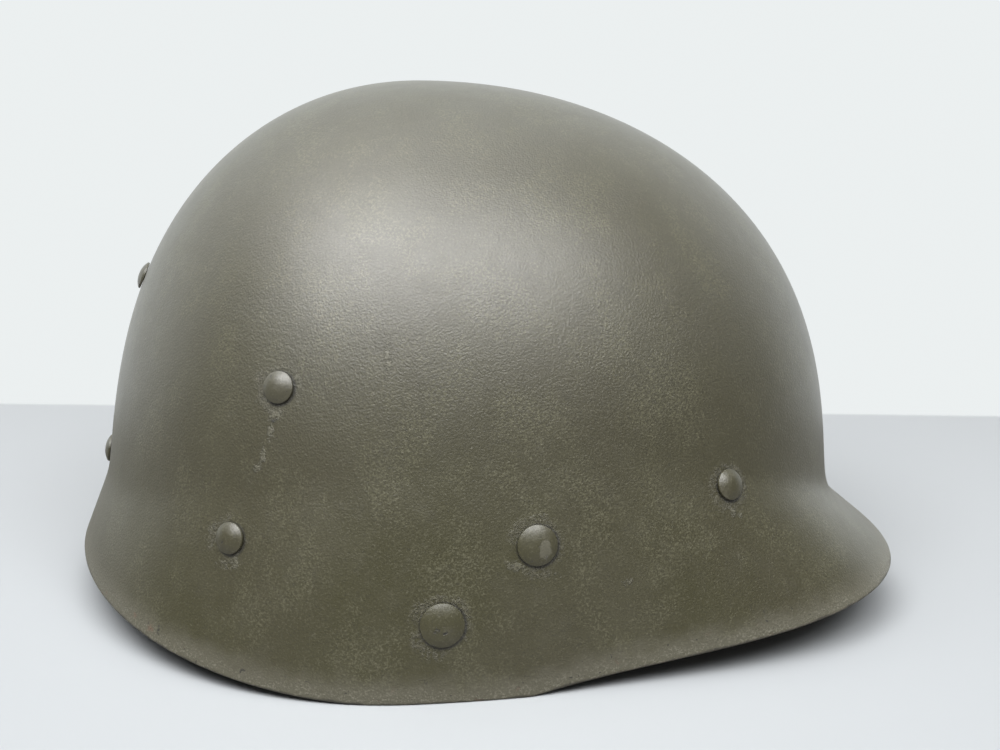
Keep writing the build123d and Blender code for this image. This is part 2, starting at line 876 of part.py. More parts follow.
def make_socket(plane):
    """A snap socket inside the wall, for the strap of an outer pot, its rivet's tail sunk flush."""
    top = -max(rim_depths(plane, socket_radius, wall)) - seat_clearance
    floor = top - socket_floor
    socket = disc(socket_radius, floor, top)
    socket += ring(socket_radius * socket_rim_share, socket_mouth_radius, top - socket_height, floor)
    socket -= disc(shank_radius, -bore_depth, bore_depth)
    socket -= disc(tail_radius + hole_clearance, top - socket_height, floor + tail_height)
    return plane.location * socket


def build():
    os.makedirs("parts", exist_ok=True)
    suspension = suspension_seats()
    nape = nape_seats()
    chinstrap = seat(-math.radians(chinstrap_angle), chinstrap_height)
    snap = seat(-math.radians(snap_angle), snap_height)
    mirrored = [seat(math.radians(chinstrap_angle), chinstrap_height),
                seat(math.radians(snap_angle), snap_height)]
    write("shell", [make_shell(suspension + nape + [chinstrap, snap] + mirrored)])

    front, right_front, left_front, rear, right_rear, left_rear = suspension
    pairs = [(rear, front), (left_rear, right_front), (right_rear, left_front)]
    names = ["crown_strap_front_to_rear", "crown_strap_right_front", "crown_strap_left_front"]
    filled = Pos(0, 0, -crown_height) * extrude(oval_face(support_offset + webbing),
                                                amount=2 * crown_height)
    cutter = filled & slab(-2 * half_width, 2 * half_width, -2 * half_width, 2 * half_width,
                           -2 * strap_tail_half_height, support_half_height)
    hangers = []
    rivets = []
    washers = []
    for layer, (a, b) in enumerate(pairs):
        direction = strap_line(a, b)
        write(names[layer], [make_crown_strap(a, b, layer, cutter)])
        for plane, outward in ((a, direction * -1), (b, direction)):
            hangers.append(make_hanger(plane, outward))
            top = -hanger_standing(plane) - hanger_thickness
            washer = ring(clinch_radius, shank_radius, top - clinch_thickness, top)
            washers.append(plane.location * washer)
            rivets.append(make_rivet(plane, small_head_radius, top - clinch_thickness))
    write("strap_hangers", hangers)
    write("suspension_rivets", rivets)
    write("clinch_washers", washers)
    write("support_band", [make_support_band()])

    clip_frames = []
    for angle in clip_angles:
        for side in (-1, 1):
            clip_frames.append(clip_frame(side * math.radians(angle)))
    holes = []
    for frame in clip_frames:
        for x, z in clip_rivet_places():
            bore = along_y(clip_rivet_radius, -bore_depth, bore_depth, x, z)
            holes.append(frame.location * bore)
    write("sweatband_leather", [make_leather()])
    write("sweatband_backing", [make_backing(holes)])
    write("headband_buckle", [make_headband_buckle()])
    places = [harness.location * frame.location for frame in clip_frames]
    write("clip_bases", [place * make_clip_base() for place in places])
    write("clip_pins", [place * make_clip_pin() for place in places])
    write("clip_rivets", [place * rivet for place in places for rivet in make_clip_rivets()])
    clip_names = ["front_right", "front_left", "side_right", "side_left", "rear_right", "rear_left"]
    for name, place in zip(clip_names, places):
        write(f"clip_jaw_{name}", [place * make_clip_jaw()])

    centre, radius, half_angle = nape_arc(nape)
    write("nape_rivets", [make_rivet(plane, small_head_radius,
                                     -stud_flange_depth(plane) - stud_socket_depth, False)
                          for plane in nape])
    write("nape_snap_studs", [make_nape_stud(plane) for plane in nape])
    write("nape_band", [make_nape_band(nape, centre, radius, half_angle)])
    write("nape_snap_caps", [make_nape_cap(plane, centre, radius) for plane in nape])
    place = math.degrees(half_angle) * nape_buckle_place_share
    write("nape_buckle_right", [Pos(centre) * make_nape_buckle(radius, place)])
    write("nape_buckle_left", [Pos(centre) * make_nape_buckle(radius, -place)])

    tail = swivel_top(chinstrap) - swivel_plate - buckle_clearance - clinch_thickness
    write("chinstrap_rivets", both_sides(make_rivet(chinstrap, strap_head_radius, tail)))
    write("chinstrap_bushes", both_sides(make_bush(chinstrap)))
    for name, shape in zip(("right", "left"), both_sides(make_swivel(chinstrap))):
        write(f"chinstrap_hanger_{name}", [shape])
    for name, shape in zip(("right", "left"), both_sides(make_wire_loop(chinstrap))):
        write(f"chinstrap_loop_{name}", [shape])
    tail = tail_height - max(rim_depths(snap, socket_radius, wall)) - seat_clearance - socket_floor
    write("snap_rivets", both_sides(make_rivet(snap, snap_head_radius, tail)))
    write("snap_sockets", both_sides(make_socket(snap)))


build()
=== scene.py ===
from math import atan2, cos, hypot, pi, radians, sin, tan

import bpy
import numpy as np
from mathutils import Matrix, Vector


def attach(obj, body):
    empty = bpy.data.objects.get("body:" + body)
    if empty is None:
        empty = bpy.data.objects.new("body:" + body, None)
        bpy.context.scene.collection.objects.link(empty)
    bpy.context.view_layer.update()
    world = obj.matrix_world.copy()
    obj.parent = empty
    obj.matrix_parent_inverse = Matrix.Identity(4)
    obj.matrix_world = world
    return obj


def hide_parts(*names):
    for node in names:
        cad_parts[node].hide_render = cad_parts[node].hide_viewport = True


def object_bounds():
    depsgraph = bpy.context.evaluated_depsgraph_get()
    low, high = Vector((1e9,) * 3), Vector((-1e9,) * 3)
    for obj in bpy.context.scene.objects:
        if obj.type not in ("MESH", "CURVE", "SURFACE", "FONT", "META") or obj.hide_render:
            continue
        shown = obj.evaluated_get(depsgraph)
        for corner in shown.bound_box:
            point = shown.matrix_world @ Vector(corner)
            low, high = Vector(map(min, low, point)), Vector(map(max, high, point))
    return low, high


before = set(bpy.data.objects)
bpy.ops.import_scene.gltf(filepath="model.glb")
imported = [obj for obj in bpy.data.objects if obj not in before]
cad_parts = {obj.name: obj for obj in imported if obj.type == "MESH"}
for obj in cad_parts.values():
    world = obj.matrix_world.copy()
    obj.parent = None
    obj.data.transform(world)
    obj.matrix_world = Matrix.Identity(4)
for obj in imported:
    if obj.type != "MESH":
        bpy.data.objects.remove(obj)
cad_low, cad_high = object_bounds()

# Lengths below are in millimetres, as in the part's source; meshes are written in metres
MM = 0.001

crown_height = 166.8
front_length = 148.1
rear_length = 99.3
half_width = 106.3
wall = 2.3
crown_lean_share = 0.057
front_plan_power = 2.3
rear_plan_power = 2.0
front_dome_power = 2.94
rear_dome_power = 3.2
side_dome_power = 2.65
dome_root = 1.962
visor_flare_height = 26.8
side_flare_height = 62.2
nape_flare_height = 38.0
visor_flare_share = 1.64
side_flare_share = 0.108
nape_flare_share = 0.35
flare_blend = 4.8
visor_focus_power = 5
nape_focus_power = 2
rest_front = 28.5
rest_rear = 12.0
visor_rise = 17.0
visor_rise_length = 137.5
nape_rise = 14.7
nape_rise_length = 95.0
visor_rim_ease_share = 0.05
visor_rim_power = 0.8
nape_rim_power = 1.65


# Shell surface, the same formula as the solid's

def ramp(distance):
    return (distance + np.hypot(distance, flare_blend)) / 2


def shell_radius(turn, height, inset=0.0):
    forward = np.cos(turn)
    across = np.sin(turn)
    is_front = forward > 0
    length = np.where(is_front, front_length, rear_length) - inset
    width = half_width - inset
    top = crown_height - inset
    plan_power = np.where(is_front, front_plan_power, rear_plan_power)
    dome_power = np.where(is_front, front_dome_power, rear_dome_power) * forward ** 2
    dome_power = dome_power + side_dome_power * across ** 2
    rise = np.clip(height / top, 0, 1)
    dome = (1 - rise ** dome_power) ** (1 / dome_root)
    plan = 2 + (plan_power - 2) * (1 - rise ** 2)
    radius = ((np.abs(forward) / length) ** plan + (np.abs(across) / width) ** plan) ** (-1 / plan)
    visor_part = np.maximum(forward, 0) ** visor_focus_power
    nape_part = np.maximum(-forward, 0) ** nape_focus_power
    start = side_flare_height + (visor_flare_height - side_flare_height) * visor_part
    start = start + (nape_flare_height - side_flare_height) * nape_part
    slope = side_flare_share + (visor_flare_share - side_flare_share) * visor_part
    slope = slope + (nape_flare_share - side_flare_share) * nape_part
    start = start - inset * (np.hypot(1, slope) - 1) / slope
    return radius * dome + slope * (ramp(start - height) - ramp(start - top))


def rim_height(forward):
    ahead = np.maximum(forward - rest_front, 0) / visor_rise_length
    behind = np.maximum(-rest_rear - forward, 0) / nape_rise_length
    ease = visor_rim_ease_share ** 2
    eased = (1 + ease) * ahead ** 3 / (ahead ** 2 + ease)
    return visor_rise * eased ** visor_rim_power + nape_rise * behind ** nape_rim_power


def rim_at(turn, inset):
    """Height at which the rim cuts the surface, for each angle round the crown axis."""
    low = np.zeros_like(turn)
    high = np.full_like(turn, crown_height / 2)
    for _ in range(40):
        height = (low + high) / 2
        forward = shell_radius(turn, height, inset) * np.cos(turn) + crown_lean_share * height
        above = height > rim_height(forward)
        high = np.where(above, height, high)
        low = np.where(above, low, height)
    return height


def tip(turn):
    turn = np.array([turn])
    height = rim_at(turn, 0.0)
    return (shell_radius(turn, height) * np.cos(turn) + crown_lean_share * height)[0]


middle = (tip(0.0) + tip(pi)) / 2


def surface(turn, height, inset=0.0):
    radius = shell_radius(turn, height, inset)
    forward = radius * np.cos(turn) + crown_lean_share * height - middle
    return np.stack(np.broadcast_arrays(forward, radius * np.sin(turn), height), -1)


# Mesh helpers

cloth_slot, thread_slot = 0, 1


def add_object(name, data):
    obj = bpy.data.objects.new(name, data)
    bpy.context.scene.collection.objects.link(obj)
    return obj


def new_object(name, points, faces, materials, uvs=None, face_materials=None):
    mesh = bpy.data.meshes.new(name)
    mesh.from_pydata([tuple(p) for p in np.asarray(points) * MM], [], faces)
    mesh.update()
    if uvs is not None:
        layer = mesh.uv_layers.new(name="cloth")
        loops = np.array([i for f in faces for i in f])
        layer.data.foreach_set("uv", (uvs[loops] * MM).ravel().astype(np.float32))
    mesh.polygons.foreach_set("use_smooth", [True] * len(mesh.polygons))
    for material in materials:
        mesh.materials.append(material)
    if face_materials is not None:
        mesh.polygons.foreach_set("material_index", face_materials)
    return add_object(name, mesh)


class Parts:
    """Collects meshes that become one object."""

    def __init__(self):
        self.points, self.faces, self.uvs, self.slots = [], [], [], []

    def add(self, points, faces, uvs=None, slot=cloth_slot):
        base = sum(len(p) for p in self.points)
        points = np.asarray(points, float)
        self.points.append(points)
        self.faces.extend(tuple(i + base for i in f) for f in faces)
        self.uvs.append(np.zeros((len(points), 2)) if uvs is None else uvs)
        self.slots.extend([slot] * len(faces))

    def build(self, name, materials):
        return new_object(name, np.concatenate(self.points), self.faces, materials,
                          np.concatenate(self.uvs), self.slots)


def ring_faces(rows, columns, closed=False):
    """Faces between rings of points, and from the last ring to the first if closed."""
    faces = []
    for i in range(rows if closed else rows - 1):
        a, b = i * columns, (i + 1) % rows * columns
        for c in range(columns):
            d = (c + 1) % columns
            faces.append((a + c, a + d, b + d, b + c))
    return faces


def tube_faces(rows, columns):
    """Faces between rings of points, with a cap at both ends."""
    caps = [tuple(range(columns)), tuple(reversed(range((rows - 1) * columns, rows * columns)))]
    return ring_faces(rows, columns) + caps


def unit(v):
    return v / np.linalg.norm(v, axis=-1, keepdims=True)


def run_along(line):
    """The length run at each point of a line."""
    return np.concatenate([[0], np.cumsum(np.linalg.norm(np.diff(line, axis=0), axis=1))])


def at_runs(line, places):
    """The points of a line at given lengths run."""
    run = run_along(line)
    return np.stack([np.interp(places, run, line[:, axis]) for axis in range(line.shape[1])], -1)


def band_section(width, thickness):
    """A flat woven band's section: edges rounded, faces barely pillowed. (across, out) pairs."""
    w, t = width / 2, thickness / 2
    e = min(t, w) * 0.9
    half = [(-w, -t * 0.3), (-w + e * 0.35, -t * 0.85), (-w + e * 1.3, -t), (-w * 0.5, -t),
            (0, -t), (w * 0.5, -t), (w - e * 1.3, -t), (w - e * 0.35, -t * 0.85), (w, -t * 0.3)]
    return np.array(half + [(-across, -out) for across, out in half])


def ribbon(parts, line, across, width, thickness, closed=False):
    """A band whose middle follows line; across is its width direction."""
    across = unit(np.broadcast_to(across, line.shape))
    if closed:
        tangent = np.roll(line, -1, 0) - np.roll(line, 1, 0)
    else:
        tangent = np.gradient(line, axis=0)
    out = unit(np.cross(across, unit(tangent)))
    pairs = band_section(width, thickness)
    count = len(pairs)
    points = (line[:, None, :] + across[:, None, :] * pairs[None, :, 0:1]
              + out[:, None, :] * pairs[None, :, 1:2]).reshape(-1, 3)
    uvs = np.stack([np.repeat(run_along(line), count), np.tile(pairs[:, 0], len(line))], -1)
    faces = ring_faces(len(line), count, True) if closed else tube_faces(len(line), count)
    parts.add(points, faces, uvs)


# A thread's rings, each a share of its length from the middle and a share of its girth
thread_rings = ((-0.5, 0.25), (-0.34, 0.85), (0.0, 1.0), (0.34, 0.85), (0.5, 0.25))
thread_thickness = 0.55
thread_bow = 0.18
thread_bow_fall = 2.4


def stitch(parts, place, direction, normal, length):
    """One short rounded thread that lies on a surface, its middle bowed out."""
    sides = 6
    side = np.cross(direction, normal)
    points = []
    for share, girth in thread_rings:
        centre = place + direction * (share * length)
        bow = thread_thickness * thread_bow * (1 - abs(share) * thread_bow_fall)
        centre = centre + normal * bow
        for k in range(sides):
            turn = 2 * pi * k / sides
            points.append(centre + (side * cos(turn) + normal * sin(turn))
                          * (girth * thread_thickness / 2))
    parts.add(points, tube_faces(len(thread_rings), sides), None, thread_slot)


# Materials

class Graph:
    """A node material, built a call at a time."""

    def __init__(self, name, owner=None):
        self.material = owner or bpy.data.materials.new(name)
        self.material.use_nodes = True
        self.nodes = self.material.node_tree.nodes
        self.links = self.material.node_tree.links
        self.shader = self.nodes.get("Principled BSDF")
        self.coordinates = self.node("ShaderNodeTexCoord")

    def node(self, kind, inputs=None, **settings):
        node = self.nodes.new(kind)
        for key, value in settings.items():
            setattr(node, key, value)
        for key, value in (inputs or {}).items():
            self.set(node.inputs[key], value)
        return node

    def set(self, socket, value):
        if isinstance(value, bpy.types.NodeSocket):
            self.links.new(value, socket)
        elif value is not None:
            socket.default_value = (*value, 1.0) if socket.type == "RGBA" else value

    def place(self):
        return self.coordinates.outputs["Object"]

    def sums(self, operation, a, b=None, c=None):
        return self.node("ShaderNodeMath", {0: a, 1: b, 2: c}, operation=operation).outputs[0]

    def times(self, a, b, plus=None):
        return self.sums("MULTIPLY" if plus is None else "MULTIPLY_ADD", a, b, plus)

    def strongest(self, masks):
        mask = masks[0]
        for other in masks[1:]:
            mask = self.sums("MAXIMUM", mask, other)
        return mask

    def noise(self, scale, detail, rough, distortion=0.0, stretch=None):
        vector = self.place()
        if stretch is not None:
            mapping = self.node("ShaderNodeMapping", {"Vector": vector, "Scale": stretch})
            vector = mapping.outputs[0]
        return self.node("ShaderNodeTexNoise",
                         {"Vector": vector, "Scale": scale, "Detail": detail, "Roughness": rough,
                          "Distortion": distortion}).outputs["Fac"]

    def spread(self, value, low, high, to_low=0.0, to_high=1.0):
        """Maps low..high smoothly onto to_low..to_high, held at both ends."""
        node = self.node("ShaderNodeMapRange", {0: value, 1: low, 2: high, 3: to_low, 4: to_high},
                         interpolation_type="SMOOTHSTEP")
        return node.outputs["Result"]

    def mix(self, factor, a, b):
        node = self.node("ShaderNodeMix", {0: factor, 6: a, 7: b}, data_type="RGBA",
                         clamp_factor=True)
        return node.outputs[2]

    def cover(self, color, mask, strength, tone):
        """Lays a tone over a colour where the mask is 1, no stronger than strength."""
        return self.mix(self.times(mask, strength), color, tone)

    def split(self, vector):
        return self.node("ShaderNodeSeparateXYZ", {"Vector": vector}).outputs

    def vectors(self, operation, a, b=None, output="Vector"):
        node = self.node("ShaderNodeVectorMath", {0: a, 1: b}, operation=operation)
        return node.outputs[output]

    def distance(self, point, stretch):
        """Distance in metres from a fixed place, given in millimetres."""
        vector = self.vectors("SUBTRACT", self.place(), [v * MM for v in point])
        vector = self.vectors("MULTIPLY", vector, stretch)
        return self.vectors("LENGTH", vector, output="Value")

    def bumps(self, pairs):
        """Stacks (height, distance in millimetres) pairs into one normal."""
        normal = None
        for height, distance in pairs:
            normal = self.node("ShaderNodeBump", {"Height": height, "Distance": distance * MM,
                                                  "Strength": 1.0, "Normal": normal}).outputs[0]
        self.set(self.shader.inputs["Normal"], normal)

    def finish(self, color, roughness, metallic=0.0, specular=0.5, **more):
        more.update(Base_Color=color, Roughness=roughness, Metallic=metallic,
                    Specular_IOR_Level=specular)
        for key, value in more.items():
            self.set(self.shader.inputs[key.replace("_", " ")], value)
        return self.material


# Rivets that show, as the part's source seats them: place and head radius in millimetres
side_rivets = (
    (-67.45, 85.76, 86.12, 4.55),
    (63.25, 88.25, 53.53, 4.55),
    (-82.46, 89.55, 43.1, 4.55),
    (-24.06, 110.24, 23.0, 6.3),
    (3.15, 105.51, 43.8, 5.8),
)
centre_rivets = ((-111.5, 0, 103.1, 4.55), (-126.1, 0, 43.1, 4.55), (120.3, 0, 39.3, 4.55))

# Marks of wear on the right side: middle in millimetres, stretch along x, y and z, radius
pale_marks = (
    ((-69.0, -87.6, 78.9), (0.75, 1.0, 0.8), 1.5),
    ((-71.4, -85.6, 82.0), (1.0, 1.0, 0.45), 1.1),
    ((-70.2, -88.3, 74.2), (1.0, 1.0, 0.36), 0.9),
    ((-72.4, -88.9, 67.3), (1.0, 1.0, 0.30), 0.8),
    ((-74.0, -88.6, 63.6), (0.8, 1.0, 1.0), 0.9),
    ((-81.0, -92.4, 37.2), (1.0, 1.0, 0.33), 0.8),
    ((-37.4, -92.3, 95.0), (1.0, 0.3, 0.16), 0.9),
    ((-2.6, -107.0, 38.2), (0.42, 1.0, 1.0), 1.1),
    ((64.1, -91.2, 46.3), (1.0, 1.0, 0.6), 1.0),
    ((66.5, -90.8, 44.9), (1.0, 1.0, 1.0), 0.7),
    ((8.4, -107.3, 35.2), (0.3, 1.0, 1.0), 0.8),
    ((30.5, -105.0, 31.0), (0.5, 1.0, 1.0), 0.8),
)
brown_chips = (
    ((-107.7, -78.9, 11.4), (0.8, 1.0, 1.0), 1.3),
    ((-112.6, -72.6, 12.9), (1.0, 1.0, 1.0), 0.9),
)
dark_pits = (
    ((-104.6, -81.2, 11.6), (1.0, 1.0, 0.6), 0.9),
    ((104.1, -87.1, 20.6), (1.0, 1.0, 1.0), 0.6),
    ((-69.3, -88.2, 77.2), (0.55, 1.0, 1.0), 0.7),
)
snap_head_chip = (((5.2, -107.5, 43.0), (1.0, 0.2, 0.6), 1.6),)
chinstrap_head_holes = (
    ((-25.8, -112.0, 22.4), (0.8, 0.2, 1.0), 0.8),
    ((-23.3, -112.0, 21.4), (0.6, 0.2, 1.2), 0.5),
)


def spots(g, places, ragged, fade=0.3, torn=4.0):
    """One mask for a list of marks, their edges made ragged by a noise."""
    masks = []
    ragged = g.sums("SUBTRACT", ragged, 0.5)
    for place, stretch, radius in places:
        away = g.times(ragged, radius * torn * MM, g.distance(place, stretch))
        masks.append(g.spread(away, radius * fade * MM, radius * 1.2 * MM, 1.0, 0.0))
    return g.strongest(masks)


def paint_coat(g):
    """Olive paint, darker and yellower low down as painted shade: its colour, roughness and the
    noises that its wear uses as well.
    """
    height = g.split(g.place())[2]
    broad = g.noise(16.0, 3.0, 0.55)
    patch = g.noise(55.0, 4.0, 0.6)
    cloud = g.noise(140.0, 5.0, 0.65)
    fine = g.noise(1500.0, 3.0, 0.65)
    # Painted shade: from 110 mm up down to 35 mm up the colour turns darker and yellower, for the
    # less lit lower side
    painted_shade_low = g.spread(height, 0.035, 0.11, 1.0, 0.0)
    color = g.mix(painted_shade_low, (0.096, 0.090, 0.057), (0.057, 0.052, 0.010))
    for noise, low, high, strength, tone in (
            (broad, 0.35, 0.65, 0.6, (0.072, 0.064, 0.030)),
            (patch, 0.42, 0.7, 0.35, (0.104, 0.098, 0.052)),
            (cloud, 0.55, 0.8, 0.3, (0.056, 0.051, 0.029)),
            (fine, 0.54, 0.70, 0.42, (0.190, 0.180, 0.115)),
            (fine, 0.46, 0.30, 0.45, (0.030, 0.028, 0.014))):
        color = g.cover(color, g.spread(noise, low, high), strength, tone)
    return color, g.spread(cloud, 0.3, 0.7, 0.45, 0.53), patch, cloud, fine


def finish_paint(g, color, roughness):
    return g.finish(color, roughness, specular=1.0, Coat_Weight=1.0, Coat_IOR=1.6,
                    Coat_Roughness=0.41)


def rim_wear(g, color, patch, cloud, fine):
    """Pale dust, flecks and chips near the rim, and the bare dark edge itself."""
    rim = g.node("ShaderNodeAttribute", attribute_name="rim").outputs["Fac"]
    ragged = g.times(patch, 0.35, g.times(cloud, 0.35))
    band = g.times(g.sums("SUBTRACT", ragged, 0.35), 1.2, rim)
    dust = g.spread(band, 0.25, 0.85)
    color = g.cover(color, dust, 0.62, (0.180, 0.170, 0.124))
    fleck = g.times(g.spread(fine, 0.52, 0.62), g.spread(band, 0.55, 0.95))
    color = g.cover(color, fleck, 0.55, (0.330, 0.315, 0.250))
    chip = g.noise(210.0, 3.0, 0.7, distortion=0.6)
    chipped = g.times(g.spread(chip, 0.66, 0.68), g.spread(rim, 0.45, 0.95))
    color = g.cover(color, chipped, 0.8, (0.150, 0.105, 0.065))
    nick = g.noise(520.0, 2.0, 0.6, distortion=0.4)
    nicked = g.times(g.spread(nick, 0.69, 0.71), g.spread(rim, 0.1, 0.8))
    color = g.mix(nicked, color, (0.030, 0.027, 0.018))
    edge = g.spread(g.times(g.sums("SUBTRACT", cloud, 0.5), 0.3, rim), 0.98, 1.06)
    color = g.cover(color, edge, 0.85, (0.030, 0.027, 0.016))
    return color, dust, chipped


def rivet_wear(g, color, cloud):
    """A painted shadow under each rivet's head, a dark ring shifted down and forward, and a crust
    of old paint round it.
    """
    x, y, z = g.split(g.place())
    mirrored = g.node("ShaderNodeCombineXYZ", {"X": x, "Y": g.sums("ABSOLUTE", y), "Z": z})
    uneven = g.sums("SUBTRACT", cloud, 0.5)

    def rings(shift, low, high, ragged):
        """A ring round each head: its shift, its fading edge past the head, how ragged it is."""
        masks = []
        for px, py, pz, radius in side_rivets + centre_rivets:
            place = ((px + shift) * MM, py * MM, (pz - abs(shift)) * MM)
            away = g.times(uneven, ragged,
                          g.vectors("DISTANCE", mirrored.outputs[0], place, "Value"))
            masks.append(g.spread(away, (radius + low) * MM, (radius + high) * MM, 1.0, 0.0))
        return g.strongest(masks)

    crust = rings(-0.7, 1.4, 4.2, 0.007)
    # Painted shadow under the heads: each ring sits 0.35 mm forward of and lower than its head
    painted_head_shadow = rings(0.35, 0.15, 0.95, 0.0)
    broken = g.times(g.spread(g.noise(900.0, 4.0, 0.7), 0.44, 0.64),
                     g.spread(g.noise(95.0, 2.0, 0.5), 0.40, 0.58))
    crust = g.times(crust, broken)
    color = g.cover(color, crust, 0.62, (0.190, 0.176, 0.118))
    # Painted shadow: a dark ring just past each head, where the head shades the shell
    color = g.cover(color, painted_head_shadow, 0.85, (0.022, 0.020, 0.012))
    return color, crust


def shell_coat():
    """Semi-matt olive paint over pebbled fibre, dusty and rubbed at the rim and rivets."""
    g = Graph("shell_paint")
    color, roughness, patch, cloud, fine = paint_coat(g)
    scuff = g.noise(70.0, 5.0, 0.7, stretch=(6.0, 6.0, 0.9))
    scuffed = g.times(g.spread(scuff, 0.62, 0.70), g.spread(cloud, 0.45, 0.6))
    color = g.cover(color, scuffed, 0.3, (0.195, 0.185, 0.130))
    cluster = g.noise(75.0, 3.0, 0.6, stretch=(1.0, 1.0, 0.55))
    specks = g.times(g.spread(cluster, 0.46, 0.62), g.spread(fine, 0.48, 0.60))
    color = g.cover(color, specks, 0.50, (0.180, 0.173, 0.100))
    color, dust, chipped = rim_wear(g, color, patch, cloud, fine)
    color, crust = rivet_wear(g, color, cloud)
    ragged = g.noise(1100.0, 3.0, 0.65)
    pale = spots(g, pale_marks, ragged)
    color = g.cover(color, pale, 0.55, (0.230, 0.220, 0.158))
    color = g.mix(spots(g, brown_chips, ragged), color, (0.190, 0.125, 0.080))
    color = g.mix(spots(g, dark_pits, ragged), color, (0.018, 0.016, 0.010))
    roughness = g.times(dust, 0.12, roughness)
    pebble = g.times(g.noise(1650.0, 1.5, 0.5), 0.75,
                    g.times(g.noise(850.0, 2.0, 0.5), 0.35))
    g.bumps([(g.noise(60.0, 2.0, 0.5), 0.25), (pebble, 0.25),
             (g.sums("MAXIMUM", crust, pale), 0.25), (chipped, -0.12)])
    return finish_paint(g, color, roughness)


def rivet_coat():
    """The same paint on the rivets' smoother heads, rubbed and nicked."""
    g = Graph("rivet_paint")
    color, roughness, _, _, _ = paint_coat(g)
    rubbed = g.spread(g.noise(260.0, 4.0, 0.65), 0.55, 0.75)
    color = g.cover(color, rubbed, 0.4, (0.165, 0.155, 0.110))
    nick = g.spread(g.noise(620.0, 2.0, 0.6, distortion=0.5), 0.70, 0.72)
    color = g.mix(nick, color, (0.028, 0.025, 0.017))
    ragged = g.noise(900.0, 3.0, 0.6)
    chip = spots(g, snap_head_chip, ragged, 0.85, 1.2)
    color = g.cover(color, chip, 0.6, (0.215, 0.205, 0.155))
    holes = spots(g, chinstrap_head_holes, ragged)
    color = g.mix(holes, color, (0.016, 0.015, 0.009))
    g.bumps([(g.noise(500.0, 3.0, 0.6), 0.10), (g.noise(1500.0, 2.0, 0.5), 0.10), (nick, -0.08),
             (chip, -0.10), (holes, -0.2)])
    return finish_paint(g, color, roughness)


def inner_paint():
    """The resin-soaked canvas that shows inside the shell."""
    g = Graph("inner_canvas")
    x, y, z = g.split(g.place())
    waves = 3600.0
    level = g.sums("SINE", g.times(g.sums("ADD", x, y), waves))
    lean = g.sums("SUBTRACT", z, g.times(x, 0.3))
    weave = g.times(level, g.sums("SINE", g.times(lean, waves)))
    broad = g.noise(24.0, 4.0, 0.6)
    blotch = g.noise(110.0, 5.0, 0.65)
    color = g.mix(g.spread(broad, 0.3, 0.7), (0.060, 0.050, 0.026), (0.082, 0.068, 0.036))
    color = g.cover(color, g.spread(blotch, 0.5, 0.75), 0.5, (0.040, 0.032, 0.018))
    color = g.mix(g.spread(weave, -1.0, 1.0, 0.0, 0.22), color, (0.115, 0.098, 0.056))
    g.bumps([(broad, 0.4), (weave, 0.10), (blotch, 0.08)])
    return g.finish(color, g.spread(blotch, 0.3, 0.7, 0.5, 0.66), specular=0.35)


def webbing(name, light, dark, column=3.4, rib_pitch=1.25, yarn_pitch=0.62):
    """Herringbone tape: chevrons across, in millimetres of the band's own length and width."""
    g = Graph(name)
    u, v, _ = g.split(g.coordinates.outputs["UV"])
    diagonal = g.sums("ADD", u, g.sums("PINGPONG", g.sums("ADD", v, 0.5), column * MM))
    rib = g.sums("SINE", g.times(diagonal, 2 * pi / (rib_pitch * MM)))
    yarn = g.sums("SINE", g.times(v, 2 * pi / (yarn_pitch * MM)))
    rib = g.times(rib, 0.5, 0.5)
    fuzz = g.noise(3200.0, 3.0, 0.6)
    soil = g.noise(38.0, 4.0, 0.6)
    color = g.mix(rib, dark, light)
    color = g.cover(color, g.spread(fuzz, 0.4, 0.75), 0.35, tuple(c * 1.35 for c in light))
    color = g.cover(color, g.spread(soil, 0.48, 0.75), 0.5, tuple(c * 0.55 for c in dark))
    g.bumps([(rib, 0.22), (yarn, 0.06), (fuzz, 0.08)])
    return g.finish(color, 0.9, specular=0.2, Sheen_Weight=0.25)


def leather():
    g = Graph("sweatband_leather")
    pores = g.node("ShaderNodeTexVoronoi", {"Vector": g.place(), "Scale": 900.0},
                   feature="DISTANCE_TO_EDGE").outputs["Distance"]
    crease = g.noise(150.0, 6.0, 0.7, distortion=0.8)
    wear = g.noise(30.0, 4.0, 0.6)
    color = g.mix(g.spread(wear, 0.3, 0.72), (0.155, 0.066, 0.026), (0.235, 0.112, 0.050))
    color = g.cover(color, g.spread(crease, 0.55, 0.78), 0.55, (0.075, 0.030, 0.012))
    color = g.mix(g.spread(pores, 0.0, 0.12, 0.35, 0.0), color, (0.080, 0.034, 0.014))
    g.bumps([(g.spread(pores, 0.0, 0.25), 0.07), (crease, 0.30)])
    return g.finish(color, g.spread(wear, 0.3, 0.7, 0.42, 0.60), specular=0.4)


def thread():
    g = Graph("linen_thread")
    twist = g.noise(2600.0, 2.0, 0.5, stretch=(1.0, 1.0, 2.0))
    color = g.mix(g.spread(twist, 0.35, 0.7), (0.20, 0.17, 0.10), (0.34, 0.30, 0.19))
    g.bumps([(twist, 0.06)])
    return g.finish(color, 0.85, specular=0.2)


def enamel(name, tone):
    """Stamped steel under thin paint, rubbed and lightly rusted."""
    g = Graph(name)
    bare = (0.23, 0.22, 0.20)
    rust = (0.12, 0.05, 0.02)
    cloud = g.noise(320.0, 4.0, 0.65)
    broad = g.noise(60.0, 3.0, 0.6)
    speck = g.noise(1400.0, 2.0, 0.6)
    color = g.mix(g.spread(cloud, 0.3, 0.7), tone, tuple(c * 1.5 for c in tone))
    uneven = g.sums("ADD", g.times(broad, 0.6), g.times(cloud, 0.4))
    worn = g.spread(uneven, 0.56, 0.62)
    color = g.cover(color, worn, 0.55, bare)
    color = g.cover(color, g.spread(speck, 0.62, 0.72), 0.5, rust)
    g.bumps([(speck, 0.03), (cloud, 0.06), (worn, -0.04)])
    return g.finish(color, g.spread(cloud, 0.3, 0.7, 0.38, 0.55), metallic=0.25)


